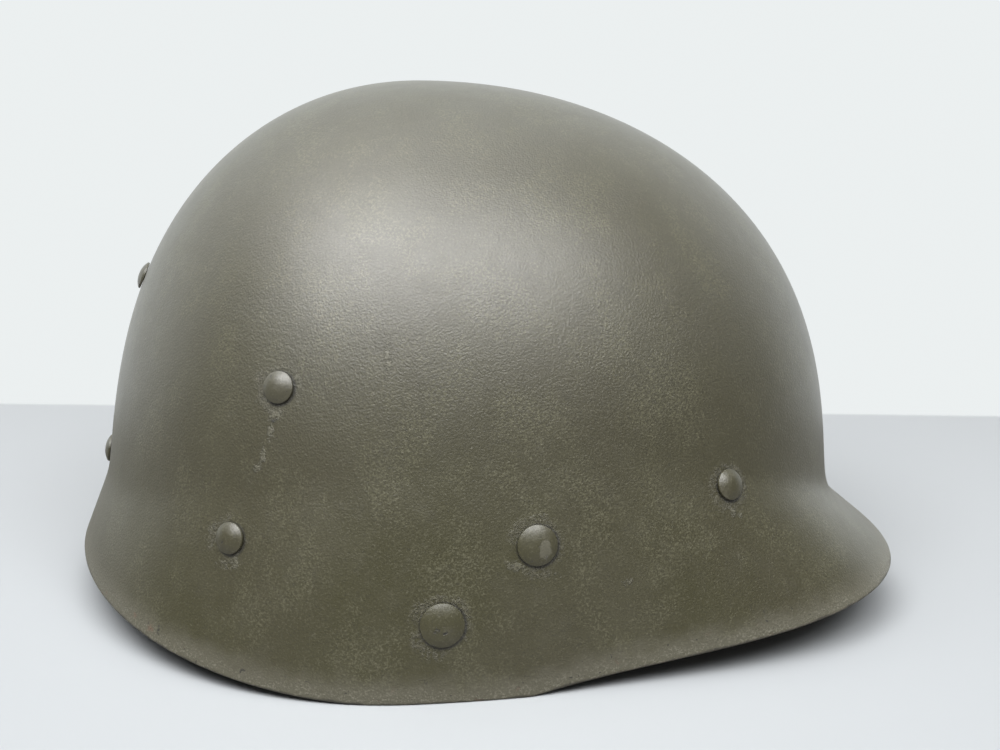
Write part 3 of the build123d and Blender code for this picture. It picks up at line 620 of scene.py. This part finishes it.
def brass(name, bright, tarnish):
    g = Graph(name)
    cloud = g.noise(260.0, 5.0, 0.7)
    scratch = g.noise(420.0, 3.0, 0.6, stretch=(1.0, 1.0, 7.0))
    color = g.mix(g.spread(cloud, 0.38, 0.66), bright, tarnish)
    color = g.mix(g.spread(scratch, 0.6, 0.72, 0.0, 0.4), color, tuple(c * 1.4 for c in bright))
    g.bumps([(cloud, 0.05), (scratch, 0.03)])
    return g.finish(color, g.spread(cloud, 0.35, 0.7, 0.32, 0.55), metallic=0.9)


shell_paint = shell_coat()
rivet_paint = rivet_coat()
canvas = inner_paint()
strap_cloth = webbing("strap_webbing", (0.285, 0.255, 0.150), (0.175, 0.150, 0.080))
band_cloth = webbing("band_webbing", (0.265, 0.240, 0.145), (0.160, 0.140, 0.078), 4.0, 1.35)
hide = leather()
linen = thread()
dark_enamel = enamel("hardware_enamel", (0.040, 0.042, 0.026))
wire_enamel = enamel("wire_enamel", (0.036, 0.036, 0.028))
dull_brass = brass("dull_brass", (0.42, 0.32, 0.15), (0.17, 0.13, 0.07))
black_brass = brass("blackened_brass", (0.12, 0.10, 0.06), (0.035, 0.030, 0.022))


# Shell: outer surface, rounded lip and inner surface as one closed mesh

def make_shell():
    columns = 480
    rows = 150
    lip = 0.85
    lip_steps = 6
    canvas_lip_rings = 4
    ring_gap = 0.2
    top_slack = 0.02
    top_power = 40
    wear_reach = 14.0
    lip_share_step = 0.02
    turn = np.linspace(0, 2 * np.pi, columns, endpoint=False)
    share = np.sin(np.linspace(0, 1, rows + 1)[:-1] * pi / 2)
    # The solid's dome is a little flatter at its very top, and so is this one
    flattened = crown_height - cad_high[2] / MM + top_slack

    def flat_top(points):
        points[..., 2] -= flattened * (points[..., 2] / crown_height) ** top_power
        return points

    def wall_rings(inset):
        """A wall's lowest ring, the ring one lip radius up from it, and those above."""
        rim = rim_at(turn, inset)
        low = surface(turn, rim, inset)
        up = low + unit(surface(turn, rim + ring_gap, inset) - low) * lip
        heights = rim[None, :] + (crown_height - inset - rim[None, :]) * share[:, None]
        rings = flat_top(surface(turn[None, :], heights, inset))
        return low, up, [ring for ring in rings if np.all(ring[:, 2] > up[:, 2] + ring_gap)]

    def bend(up, corner, level):
        """A rounded corner from a wall to the flat of the lip."""
        return [up * (1 - t) ** 2 + corner * 2 * t * (1 - t) + level * t ** 2
                for t in np.linspace(0, 1, lip_steps)]

    outer_low, outer_up, outer = wall_rings(0.0)
    inner_low, inner_up, inner = wall_rings(wall)
    flat = unit(inner_low - outer_low)
    rings = outer[::-1] + bend(outer_up, outer_low, outer_low + flat * lip)
    rings += bend(inner_up, inner_low, inner_low - flat * lip)[::-1]
    lip_start = len(outer)
    canvas_start = len(rings) - canvas_lip_rings
    rings += inner
    tops = [(crown_lean_share * height - middle, 0, height)
            for height in (crown_height, crown_height - wall)]
    points = np.concatenate([np.array(rings).reshape(-1, 3), flat_top(np.array(tops))])
    faces = [(a, d, c, b) for a, b, c, d in ring_faces(len(rings), columns)]
    slots = [int(i >= canvas_start * columns) for i in range(len(faces))]
    top, bottom = len(points) - 2, len(points) - 1
    last = (len(rings) - 1) * columns
    for j in range(columns):
        k = (j + 1) % columns
        faces += [(top, j, k), (bottom, last + k, last + j)]
    slots += [0, 1] * columns
    shell = new_object("helmet_shell", points, faces, [shell_paint, canvas], None, slots)
    # How near each point is to the rim: 0 at wear_reach up, 1 where the lip's curve starts
    rim_share = np.zeros(len(points))
    for i in range(len(rings)):
        above = np.linalg.norm(rings[i] - outer_low, axis=1)
        value = 1.0 - above / wear_reach
        if i >= lip_start:
            value = 1.0 + lip_share_step * (i - lip_start)
        rim_share[i * columns:(i + 1) * columns] = value
    attribute = shell.data.attributes.new("rim", "FLOAT", "POINT")
    attribute.data.foreach_set("value", rim_share.astype(np.float32))
    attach(shell, "helmet")
    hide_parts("shell")


make_shell()


# Harness frame: the plane of the suspension rivets, tipped forward as the head is

pitch = radians(14.0)
harness_forward = 32.0
harness_height = 68.7
side_suspension_angles = (44.5, 116.5)
rear_suspension_rise = 6.0
hanger_thickness = 1.0
hanger_eye_radius = 7.5
hanger_standoff = 0.8
hanger_rise = 12.0
hanger_bar = 2.4
bar_wall_clearance = 1.6
cloth = 1.5
strap_width = 20.0
loop_clearance = 0.2
crown_clearance = 33.7
crossing_half_length = 25.0
layer_gap = 0.05
tail_half_height = 8.5
tail_bend = 6.0
# Lifts off the support band, in thicknesses of strap cloth
tail_lift = 0.55
tack_lift = 1.06
closing_lift = 1.55
# How much less wide and thick a sewn end is than its strap, so that no faces coincide
loop_less = (0.6, 0.15)
closing_less = (0.4, 0.2)
ripple_height = 0.22
ripple_turns = 31
tack_drop = 5.6
tack_half_length = 7.6
box_rise = 2.2
box_length = 6.0
box_margin = 5.0
loop_inner = hypot(hanger_bar, hanger_thickness) / 2 + loop_clearance
loop_outer = loop_inner + cloth
head_half_length = 98.0
head_half_width = 76.0
head_end_radius = 65.0
hide_thickness = 1.4
hide_top = 6.0
hide_drop = 36.0
rear_opening_half_width = 28.0
backing = 1.2
backing_top = 3.0
backing_bottom = -19.0
backing_tail_angle = 34.0
support_offset = 5.6
support_half_height = 9.0
nape_angle = 121.7
nape_height = 43.1
nape_band_gap = 5.4
nape_band_half_height = 12.5
nape_band_end = 14.0
nape_hem = 11.0

harness_origin = np.array([harness_forward - middle, 0, harness_height])
harness_axes = np.array([[cos(pitch), 0, -sin(pitch)], [0, 1, 0],
                         [sin(pitch), 0, cos(pitch)]])
tilted_up = harness_axes[2]


def from_harness(points):
    return harness_origin + np.asarray(points, float) @ harness_axes


def to_harness(points):
    return (points - harness_origin) @ harness_axes.T


def outside(point):
    """Positive outside the shell's inner surface, negative inside it."""
    forward = point[0] + middle - crown_lean_share * point[2]
    radius = shell_radius(np.arctan2(point[1], forward), point[2], wall)
    return np.hypot(forward, point[1]) - radius


def seat(turn, height):
    """A place on the outer surface, its level direction and its outward normal."""
    point = surface(turn, height)
    step = wall / 100
    around = surface(turn + step / half_width, height) - point
    upward = surface(turn, height + step) - point
    normal = unit(np.cross(around, upward))
    level = unit(np.cross((0, 0, 1), normal))
    return point, level, normal


def below(place, x, y):
    """How far under a seat the shell's inner surface lies, at a place on it."""
    point, level, normal = place
    start = point + level * x + np.cross(normal, level) * y
    low, high = -3 * wall, 6 * wall
    for _ in range(40):
        guess = (low + high) / 2
        if outside(start - normal * guess) > 0:
            low = guess
        else:
            high = guess
    return guess


def suspension_seat(turn, rise=0.0):
    height = harness_height
    for _ in range(20):
        forward = surface(turn, height)[0] + middle - harness_forward
        height = harness_height + rise - forward * tan(pitch)
    return seat(turn, height)


def hanger_eye(place):
    """Middle of a strap hanger's eye, in the harness frame."""
    near = [(0, 0)] + [(hanger_eye_radius * cos(k * pi / 4), hanger_eye_radius * sin(k * pi / 4))
                       for k in range(8)]
    depth = max(below(place, x, y) for x, y in near)
    drop = depth + hanger_standoff + hanger_thickness / 2
    return to_harness(place[0] - place[2] * drop)


def bar_point(eye, outward):
    """Centre of a hanger's bar: as near the wall as its strap can lie."""
    start = eye + (0, 0, hanger_rise)
    across = np.array([-outward[1], outward[0], 0])
    edges = [across * (side * strap_width / 2) + outward * (loop_outer * cos(tilt))
             + (0, 0, loop_outer * sin(tilt))
             for side in (-1, 1) for tilt in (0, pi / 9, 2 * pi / 9)]
    low, high = 0.0, strap_width
    for _ in range(30):
        reach = (low + high) / 2
        worst = max(outside(from_harness(start - outward * reach + edge)) for edge in edges)
        if worst > -bar_wall_clearance:
            low = reach
        else:
            high = reach
    return start - outward * high


def oval(offset, count=720):
    """The head oval in the harness plane: two end arcs and two side arcs, evenly spaced."""
    length = head_half_length + offset
    width = head_half_width + offset
    end_radius = head_end_radius + offset
    end_centre = length - end_radius
    side_radius = (end_centre ** 2 + width ** 2 - end_radius ** 2) / (2 * (width - end_radius))
    side_centre = side_radius - width
    turn = np.linspace(0, 2 * pi, 8 * count, endpoint=False)
    x, y = np.abs(np.cos(turn)), np.abs(np.sin(turn))
    along = end_centre * x
    end_reach = along + np.sqrt(np.maximum(along ** 2 - end_centre ** 2 + end_radius ** 2, 0))
    on_end = end_reach * y * end_centre <= side_centre * (end_reach * x - end_centre)
    along = -side_centre * y
    side_reach = along + np.sqrt(along ** 2 - side_centre ** 2 + side_radius ** 2)
    reach = np.where(on_end, end_reach, side_reach)
    points = np.stack([reach * np.cos(turn), reach * np.sin(turn), np.zeros_like(turn)], -1)
    points = np.concatenate([points, points[:1]])
    return at_runs(points, np.linspace(0, run_along(points)[-1], count, endpoint=False))


def even(line, step):
    """The same open line with points at an even spacing."""
    line = np.asarray(line, float)
    length = run_along(line)[-1]
    return at_runs(line, np.linspace(0, length, max(2, round(length / step) + 1)))


def rounded(line, times=3):
    """Corners of an open line cut back again and again, its ends kept."""
    line = np.asarray(line, float)
    for _ in range(times):
        cut = [line[0]]
        for a, b in zip(line[:-1], line[1:]):
            cut.extend((a * 0.75 + b * 0.25, a * 0.25 + b * 0.75))
        line = np.array(cut + [line[-1]])
    return line


def stitch_row(parts, line, side, normals, out, gap, length=2.6):
    """Stitches along a line, shifted to one side and lifted to the face."""
    normals = np.broadcast_to(normals, line.shape)
    run = run_along(line)
    places = np.arange(gap / 2, run[-1], gap)
    tangent = unit(np.gradient(line, axis=0))
    indexes = np.minimum(np.searchsorted(run, places), len(line) - 1)
    for point, index in zip(at_runs(line, places), indexes):
        normal = normals[index]
        stitch(parts, point + side + normal * out, tangent[index], normal, length)


def stitch_across(parts, centre, half, normal, lift, gap, length):
    """A straight row of stitches to both sides of a point."""
    stitch_row(parts, even([centre - half, centre + half], 1.5), 0, normal, lift, gap, length)


def box_stitch(parts, centre, along, across, normal, length, width, gap=3.2):
    """A sewn rectangle with its two diagonals."""
    corners = [centre + along * (sx * length / 2) + across * (sy * width / 2)
               for sx, sy in ((-1, -1), (1, -1), (1, 1), (-1, 1))]
    for a, b in ((0, 1), (1, 2), (2, 3), (3, 0), (0, 2), (1, 3)):
        line = even([corners[a], corners[b]], gap / 2)
        stitch_row(parts, line, 0, normal, 0.0, gap, gap * 0.68)


def finish_soft(parts, name, node, cloth_material):
    piece = parts.build(name, [cloth_material, linen])
    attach(piece, "helmet")
    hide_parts(node)


def make_crown_strap(name, eye_a, eye_b, layer):
    """One strap from hanger to hanger over the crown, looped and sewn at both ends."""
    run = eye_b - eye_a
    direction = unit(np.array([run[0], run[1], 0.0]))
    bar_a = bar_point(eye_a, -direction)
    bar_b = bar_point(eye_b, direction)
    crossing = np.zeros(3)
    spread = abs(bar_b[1] - bar_a[1])
    if spread > cloth:
        crossing[0] = bar_a[0] + abs(bar_a[1]) * (bar_b[0] - bar_a[0]) / spread
    top = (crown_height - wall - crown_clearance - harness_height) / cos(pitch)
    top -= layer * (cloth + layer_gap)
    across = np.cross(direction, (0, 0, 1))
    mid = loop_inner + cloth / 2
    band = oval(support_offset + cloth) - crossing
    aside = band @ across

    def place(line):
        return from_harness(crossing + line[:, :1] * direction + line[:, 1:2] * (0, 0, 1.0))

    across_row = across @ harness_axes
    parts = Parts()
    ends = []
    for bar, sense in ((bar_a, -1), (bar_b, 1)):
        bar_x = abs((bar - crossing) @ direction)
        under = np.abs(aside) <= strap_width / 2
        face = np.max((band @ (direction * sense))[under])
        reach = bar_x - mid - crossing_half_length
        t = np.linspace(0, pi / 2, 60)
        arc = np.stack([crossing_half_length + reach * np.cos(t),
                        bar[2] + (top - bar[2]) * np.sin(t)], -1)
        tail_face = face + cloth * tail_lift
        tail = rounded([(tail_face, -tail_half_height), (tail_face, tail_bend),
                        (bar_x - mid, bar[2] - loop_inner), (bar_x - mid, bar[2])])
        ends.append(np.concatenate([tail, arc[1:]]) * (sense, 1))
        turn = np.linspace(0, 2 * pi, 33)[:-1]
        loop = np.stack([bar_x + mid * np.cos(turn), bar[2] + mid * np.sin(turn)], -1)
        ribbon(parts, place(loop * (sense, 1)), across_row, strap_width - loop_less[0],
               cloth - loop_less[1], closed=True)
        closing = rounded([(bar_x + mid, bar[2]), (bar_x + mid * 0.9, bar[2] - mid),
                           (face + cloth * 1.6, tail_bend), (face + cloth * closing_lift, -1.5)])
        ribbon(parts, place(even(closing * (sense, 1), 1.0)), across_row,
               strap_width - closing_less[0], cloth - closing_less[1])
        outward = (direction * sense) @ harness_axes
        box_face = face + cloth * closing_lift + cloth / 2
        box = place(np.array([[box_face * sense, box_rise]]))[0]
        box_stitch(parts, box, tilted_up, across_row, outward, box_length,
                   strap_width - box_margin)
        tack = place(np.array([[(face + cloth * tack_lift) * sense, -tack_drop]]))[0]
        stitch_across(parts, tack, across_row * tack_half_length, outward, 0.0, 3.0, 2.1)
    main = even(np.concatenate([ends[0], ends[1][::-1]]), 1.3)
    run = np.linspace(0, 1, len(main))
    # The strap lies a little uneven over the crown
    main[:, 1] += ripple_height * np.sin(run * ripple_turns + layer) * np.sin(run * pi) ** 0.5
    ribbon(parts, place(main), across_row, strap_width, cloth)
    if layer in (0, 2):
        face_way = tilted_up if layer == 0 else -tilted_up
        centre = place(np.array([[0, top]]))[0] + face_way * (cloth / 2)
        side = strap_width - box_margin
        box_stitch(parts, centre, direction @ harness_axes, across_row, face_way, side, side)
    finish_soft(parts, "strap_" + name, "crown_strap_" + name, strap_cloth)


def make_straps():
    front = hanger_eye(suspension_seat(0.0))
    rear = hanger_eye(suspension_seat(pi, rear_suspension_rise))
    sides = [[hanger_eye(suspension_seat(sign * radians(angle)))
              for angle in side_suspension_angles] for sign in (-1, 1)]
    (right_front, right_rear), (left_front, left_rear) = sides
    make_crown_strap("front_to_rear", rear, front, 0)
    make_crown_strap("right_front", left_rear, right_front, 1)
    make_crown_strap("left_front", right_rear, left_front, 2)


def make_support_band():
    parts = Parts()
    line = from_harness(oval(support_offset + cloth / 2))
    ribbon(parts, line, tilted_up, 2 * support_half_height, cloth, closed=True)
    out = unit(np.cross(np.roll(line, -1, 0) - np.roll(line, 1, 0), tilted_up))
    # The band's sewn overlap, behind the left ear
    for index in (255, 262):
        for face in (-1, 1):
            stitch_across(parts, line[index] + out[index] * (face * cloth / 2), tilted_up * 7,
                          out[index] * face, 0.0, 2.9, 2.0)
    finish_soft(parts, "head_support_band", "support_band", band_cloth)


def make_sweatband():
    parts = Parts()
    line = oval(hide_thickness / 2)
    behind = (line[:, 0] < 0) & (np.abs(line[:, 1]) < rear_opening_half_width)
    start = np.argmax(behind)
    kept = np.roll(line, -start, 0)
    kept = kept[~np.roll(behind, -start)]
    kept[:, 2] = (hide_top - hide_drop) / 2
    line = from_harness(kept)
    width = hide_top + hide_drop
    ribbon(parts, line, tilted_up, width, hide_thickness)
    tangent = unit(np.gradient(line, axis=0))
    out = unit(np.cross(tangent, tilted_up))
    # Turned edges, top and bottom, and the rows that sew the band to its backing
    face = hide_thickness / 2 - 0.05
    for height in (width / 2 - 3.2, -width / 2 + 2.6):
        stitch_row(parts, line, tilted_up * height, -out, face, 3.8)
    for height in (backing_top - 2.4, backing_bottom + 2.4):
        side = tilted_up * (height - (hide_top - hide_drop) / 2)
        stitch_row(parts, line, side, -out, face, 3.4, 2.3)
    for end, inward in ((0, tangent[0]), (-1, -tangent[-1])):
        stitch_across(parts, line[end] + inward * 3, tilted_up * (width / 2 - 4), -out[end],
                      face, 3.4, 2.3)
    finish_soft(parts, "leather_sweatband", "sweatband_leather", hide)


def make_backing():
    parts = Parts()
    height = (backing_top + backing_bottom) / 2
    line = oval(hide_thickness + backing / 2)
    line[:, 2] = height
    line = from_harness(line)
    width = backing_top - backing_bottom
    ribbon(parts, line, tilted_up, width, backing, closed=True)
    centre = head_end_radius - head_half_length
    radius = head_end_radius + hide_thickness + backing * 1.5
    turn = pi + np.radians(np.linspace(-0.5, 0.5, 50) * backing_tail_angle)
    tail = np.stack([centre + radius * np.cos(turn), radius * np.sin(turn),
                     np.full_like(turn, height)], -1)
    tail = from_harness(tail)
    ribbon(parts, tail, tilted_up, width, backing * 0.96)
    for end in (3, len(tail) - 4):
        out = unit(tail[end] - from_harness([centre, 0, height]))
        stitch_across(parts, tail[end], tilted_up * 9, out, backing * 0.48, 3.0, 2.1)
    finish_soft(parts, "webbing_backing", "sweatband_backing", band_cloth)


def nape_arc():
    """Centre and radius of the level arc that runs inside the nape."""
    points = []
    for turn in (pi, -radians(nape_angle)):
        place = seat(turn, nape_height)
        inner = place[0] - place[2] * below(place, 0, 0)
        level = unit(np.array([place[2][0], place[2][1], 0]))
        points.append(inner - level * nape_band_gap)
    rear, side = points
    run = side[0] - rear[0]
    radius = (run ** 2 + side[1] ** 2) / (2 * run)
    centre = np.array([rear[0] + radius, 0, nape_height])
    return centre, radius, atan2(-side[1], centre[0] - side[0])


def make_nape_band():
    parts = Parts()
    centre, radius, half_angle = nape_arc()
    end = half_angle + nape_band_end / radius
    up = np.array([0, 0, 1.0])

    def arc(r, low, high, count):
        turn = pi + np.linspace(low, high, count)
        return centre + np.stack([r * np.cos(turn), r * np.sin(turn), np.zeros_like(turn)], -1)

    width = 2 * nape_band_half_height
    ribbon(parts, arc(radius - cloth / 2, -end, end, 240), up, width, cloth)
    hem = nape_hem / radius
    for low, high in ((-end, -end + hem), (end - hem, end)):
        ribbon(parts, arc(radius + cloth * 0.42, low, high, 14), up, width - 0.5, cloth * 0.85)
        middle_turn = pi + (high - hem if high > 0 else low + hem)
        out = np.array([cos(middle_turn), sin(middle_turn), 0])
        stitch_across(parts, centre + out * (radius - cloth), up * 10, -out, 0.0, 3.1, 2.1)
    finish_soft(parts, "nape_webbing", "nape_band", band_cloth)


make_straps()
make_support_band()
make_sweatband()
make_backing()
make_nape_band()


# Metal pieces keep their solids and get their finish

sides = ("right", "left")
jaws = ["clip_jaw_%s_%s" % (spot, side) for spot in ("front", "side", "rear") for side in sides]
finished_nodes = (
    (rivet_paint, ["suspension_rivets", "nape_rivets", "chinstrap_rivets", "snap_rivets"]),
    (dark_enamel, ["strap_hangers", "clip_bases", "clip_pins"] + jaws),
    (dark_enamel, ["chinstrap_hanger_" + side for side in sides]),
    (wire_enamel, ["chinstrap_loop_" + side for side in sides]),
    (dull_brass, ["clinch_washers", "clip_rivets", "nape_snap_studs", "nape_snap_caps",
                  "snap_sockets", "chinstrap_bushes"]),
    (black_brass, ["headband_buckle"] + ["nape_buckle_" + side for side in sides]),
)
for finish, names in finished_nodes:
    for name in names:
        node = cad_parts[name]
        node.data.materials.clear()
        node.data.materials.append(finish)


# Room: pale table with a paler wall behind it, soft light from above

wall_color = (0.835, 0.868, 0.870)
table_back_color = (0.690, 0.720, 0.742)
table_front_color = (0.618, 0.646, 0.668)
table_bounce_color = (0.26, 0.255, 0.235)
room_half_size = 4000.0
backdrop_distance = 750.0
backdrop_height = 2200.0
# The table's far edge in the photograph: y + slope * x at its start and end, in metres
edge_slope = 0.149
edge_start, edge_end = 0.1845, 0.1895
table_back, table_front = 0.19, -0.25
# Reach from the object, in metres, over which the table fades into the wall's colour
fade_start, fade_end = 0.50, 0.80
ambient_color = (1.0, 1.0, 0.98)
ambient_strength = 0.10


def seen_rays(g):
    """1 for rays that show the background itself, 0 for the light that it would shed."""
    path = g.node("ShaderNodeLightPath").outputs
    mirrored = g.sums("MAXIMUM", path["Is Glossy Ray"], path["Is Transmission Ray"])
    return g.sums("MAXIMUM", path["Is Camera Ray"], mirrored)


def stage_plane(name, near, far, g):
    """A sheet as wide as the room between two level edges, each given as y and height."""
    corners = [(side * room_half_size, *edge)
               for side, edge in ((-1, near), (1, near), (1, far), (-1, far))]
    plane = new_object(name, corners, [(0, 1, 2, 3)], [g.material])


def make_table():
    g = Graph("table")
    x, y, _ = g.split(g.place())
    line = g.times(x, edge_slope, y)
    behind = g.spread(line, edge_start, edge_end)
    camera_ray = g.node("ShaderNodeLightPath").outputs["Is Camera Ray"]
    reach = g.sums("SQRT", g.times(x, x, g.times(y, y)))
    far = g.times(g.spread(reach, fade_start, fade_end), camera_ray)
    behind = g.times(g.sums("MAXIMUM", behind, far), seen_rays(g))
    near = g.spread(line, table_back, table_front)
    shown = g.mix(near, table_back_color, table_front_color)
    g.finish(g.mix(camera_ray, table_bounce_color, shown), 0.6, specular=0.2)
    wall_light = g.node("ShaderNodeEmission", {"Color": wall_color})
    either = g.node("ShaderNodeMixShader",
                    {0: behind, 1: g.shader.outputs[0], 2: wall_light.outputs[0]})
    g.links.new(either.outputs[0], g.nodes["Material Output"].inputs["Surface"])
    stage_plane("table", (-room_half_size, 0), (room_half_size, 0), g)


def make_backdrop():
    g = Graph("backdrop")
    g.nodes.remove(g.shader)
    light = g.node("ShaderNodeEmission",
                   {"Color": wall_color, "Strength": seen_rays(g)})
    g.links.new(light.outputs[0], g.nodes["Material Output"].inputs["Surface"])
    stage_plane("backdrop", (backdrop_distance, 0), (backdrop_distance, backdrop_height), g)


def make_world():
    """A weak even light, with the wall's colour where the camera sees past the backdrop."""
    world = bpy.data.worlds.new("room")
    bpy.context.scene.world = world
    g = Graph("room", world)
    g.nodes.clear()
    path = g.node("ShaderNodeLightPath").outputs
    seen = g.sums("MAXIMUM", path["Is Camera Ray"], path["Is Transmission Ray"])
    ambient = g.node("ShaderNodeBackground",
                     {"Color": ambient_color, "Strength": ambient_strength})
    shown = g.node("ShaderNodeBackground", {"Color": wall_color})
    choose = g.node("ShaderNodeMixShader", {0: seen, 1: ambient.outputs[0], 2: shown.outputs[0]})
    g.node("ShaderNodeOutputWorld", {0: choose.outputs[0]})


def lamp(name, place, target, width, height, power):
    """A soft rectangular lamp: places and sizes in metres, power in watts."""
    data = bpy.data.lights.new(name, "AREA")
    data.shape = "RECTANGLE"
    data.size = width
    data.size_y = height
    data.energy = power
    obj = add_object(name, data)
    direction = Vector(target) - Vector(place)
    obj.location = place
    obj.rotation_euler = direction.to_track_quat("-Z", "Y").to_euler()


make_table()
make_backdrop()
make_world()
lamp("softbox", (-0.12, -0.66, 1.14), (0.0, -0.05, 0.10), 1.80, 0.72, 21.5)
lamp("ceiling", (-0.40, 0.30, 1.9), (0.0, 0.0, 0.1), 2.4, 1.8, 17.5)


# Camera: the fitted view of the photograph

def make_camera():
    image_width, image_height = 1000, 750
    azimuth, elevation = radians(-5.877), radians(15.574)
    # Distance in millimetres, focal length and principal point in pixels
    distance, focal = 468.722, 1335.359
    centre = (423.672, 399.043)
    target_forward, target_height = 11.747, 57.535
    target = Vector((target_forward - middle, 0, target_height)) * MM
    back = Vector((sin(azimuth) * cos(elevation),
                   -cos(azimuth) * cos(elevation), sin(elevation)))
    right = Vector((cos(azimuth), sin(azimuth), 0))
    up = back.cross(right)
    data = bpy.data.cameras.new("view")
    data.sensor_fit = "HORIZONTAL"
    data.sensor_width = 36.0
    data.lens = focal / image_width * data.sensor_width
    data.shift_x = (image_width / 2 - centre[0]) / image_width
    data.shift_y = (centre[1] - image_height / 2) / image_width
    data.clip_start = 0.01
    camera = add_object("view", data)
    rows = Matrix((right, up, back)).transposed().to_4x4()
    rows.translation = target + back * (distance * MM)
    camera.matrix_world = rows
    bpy.context.scene.camera = camera


make_camera()
bpy.context.scene.view_settings.view_transform = "Standard"
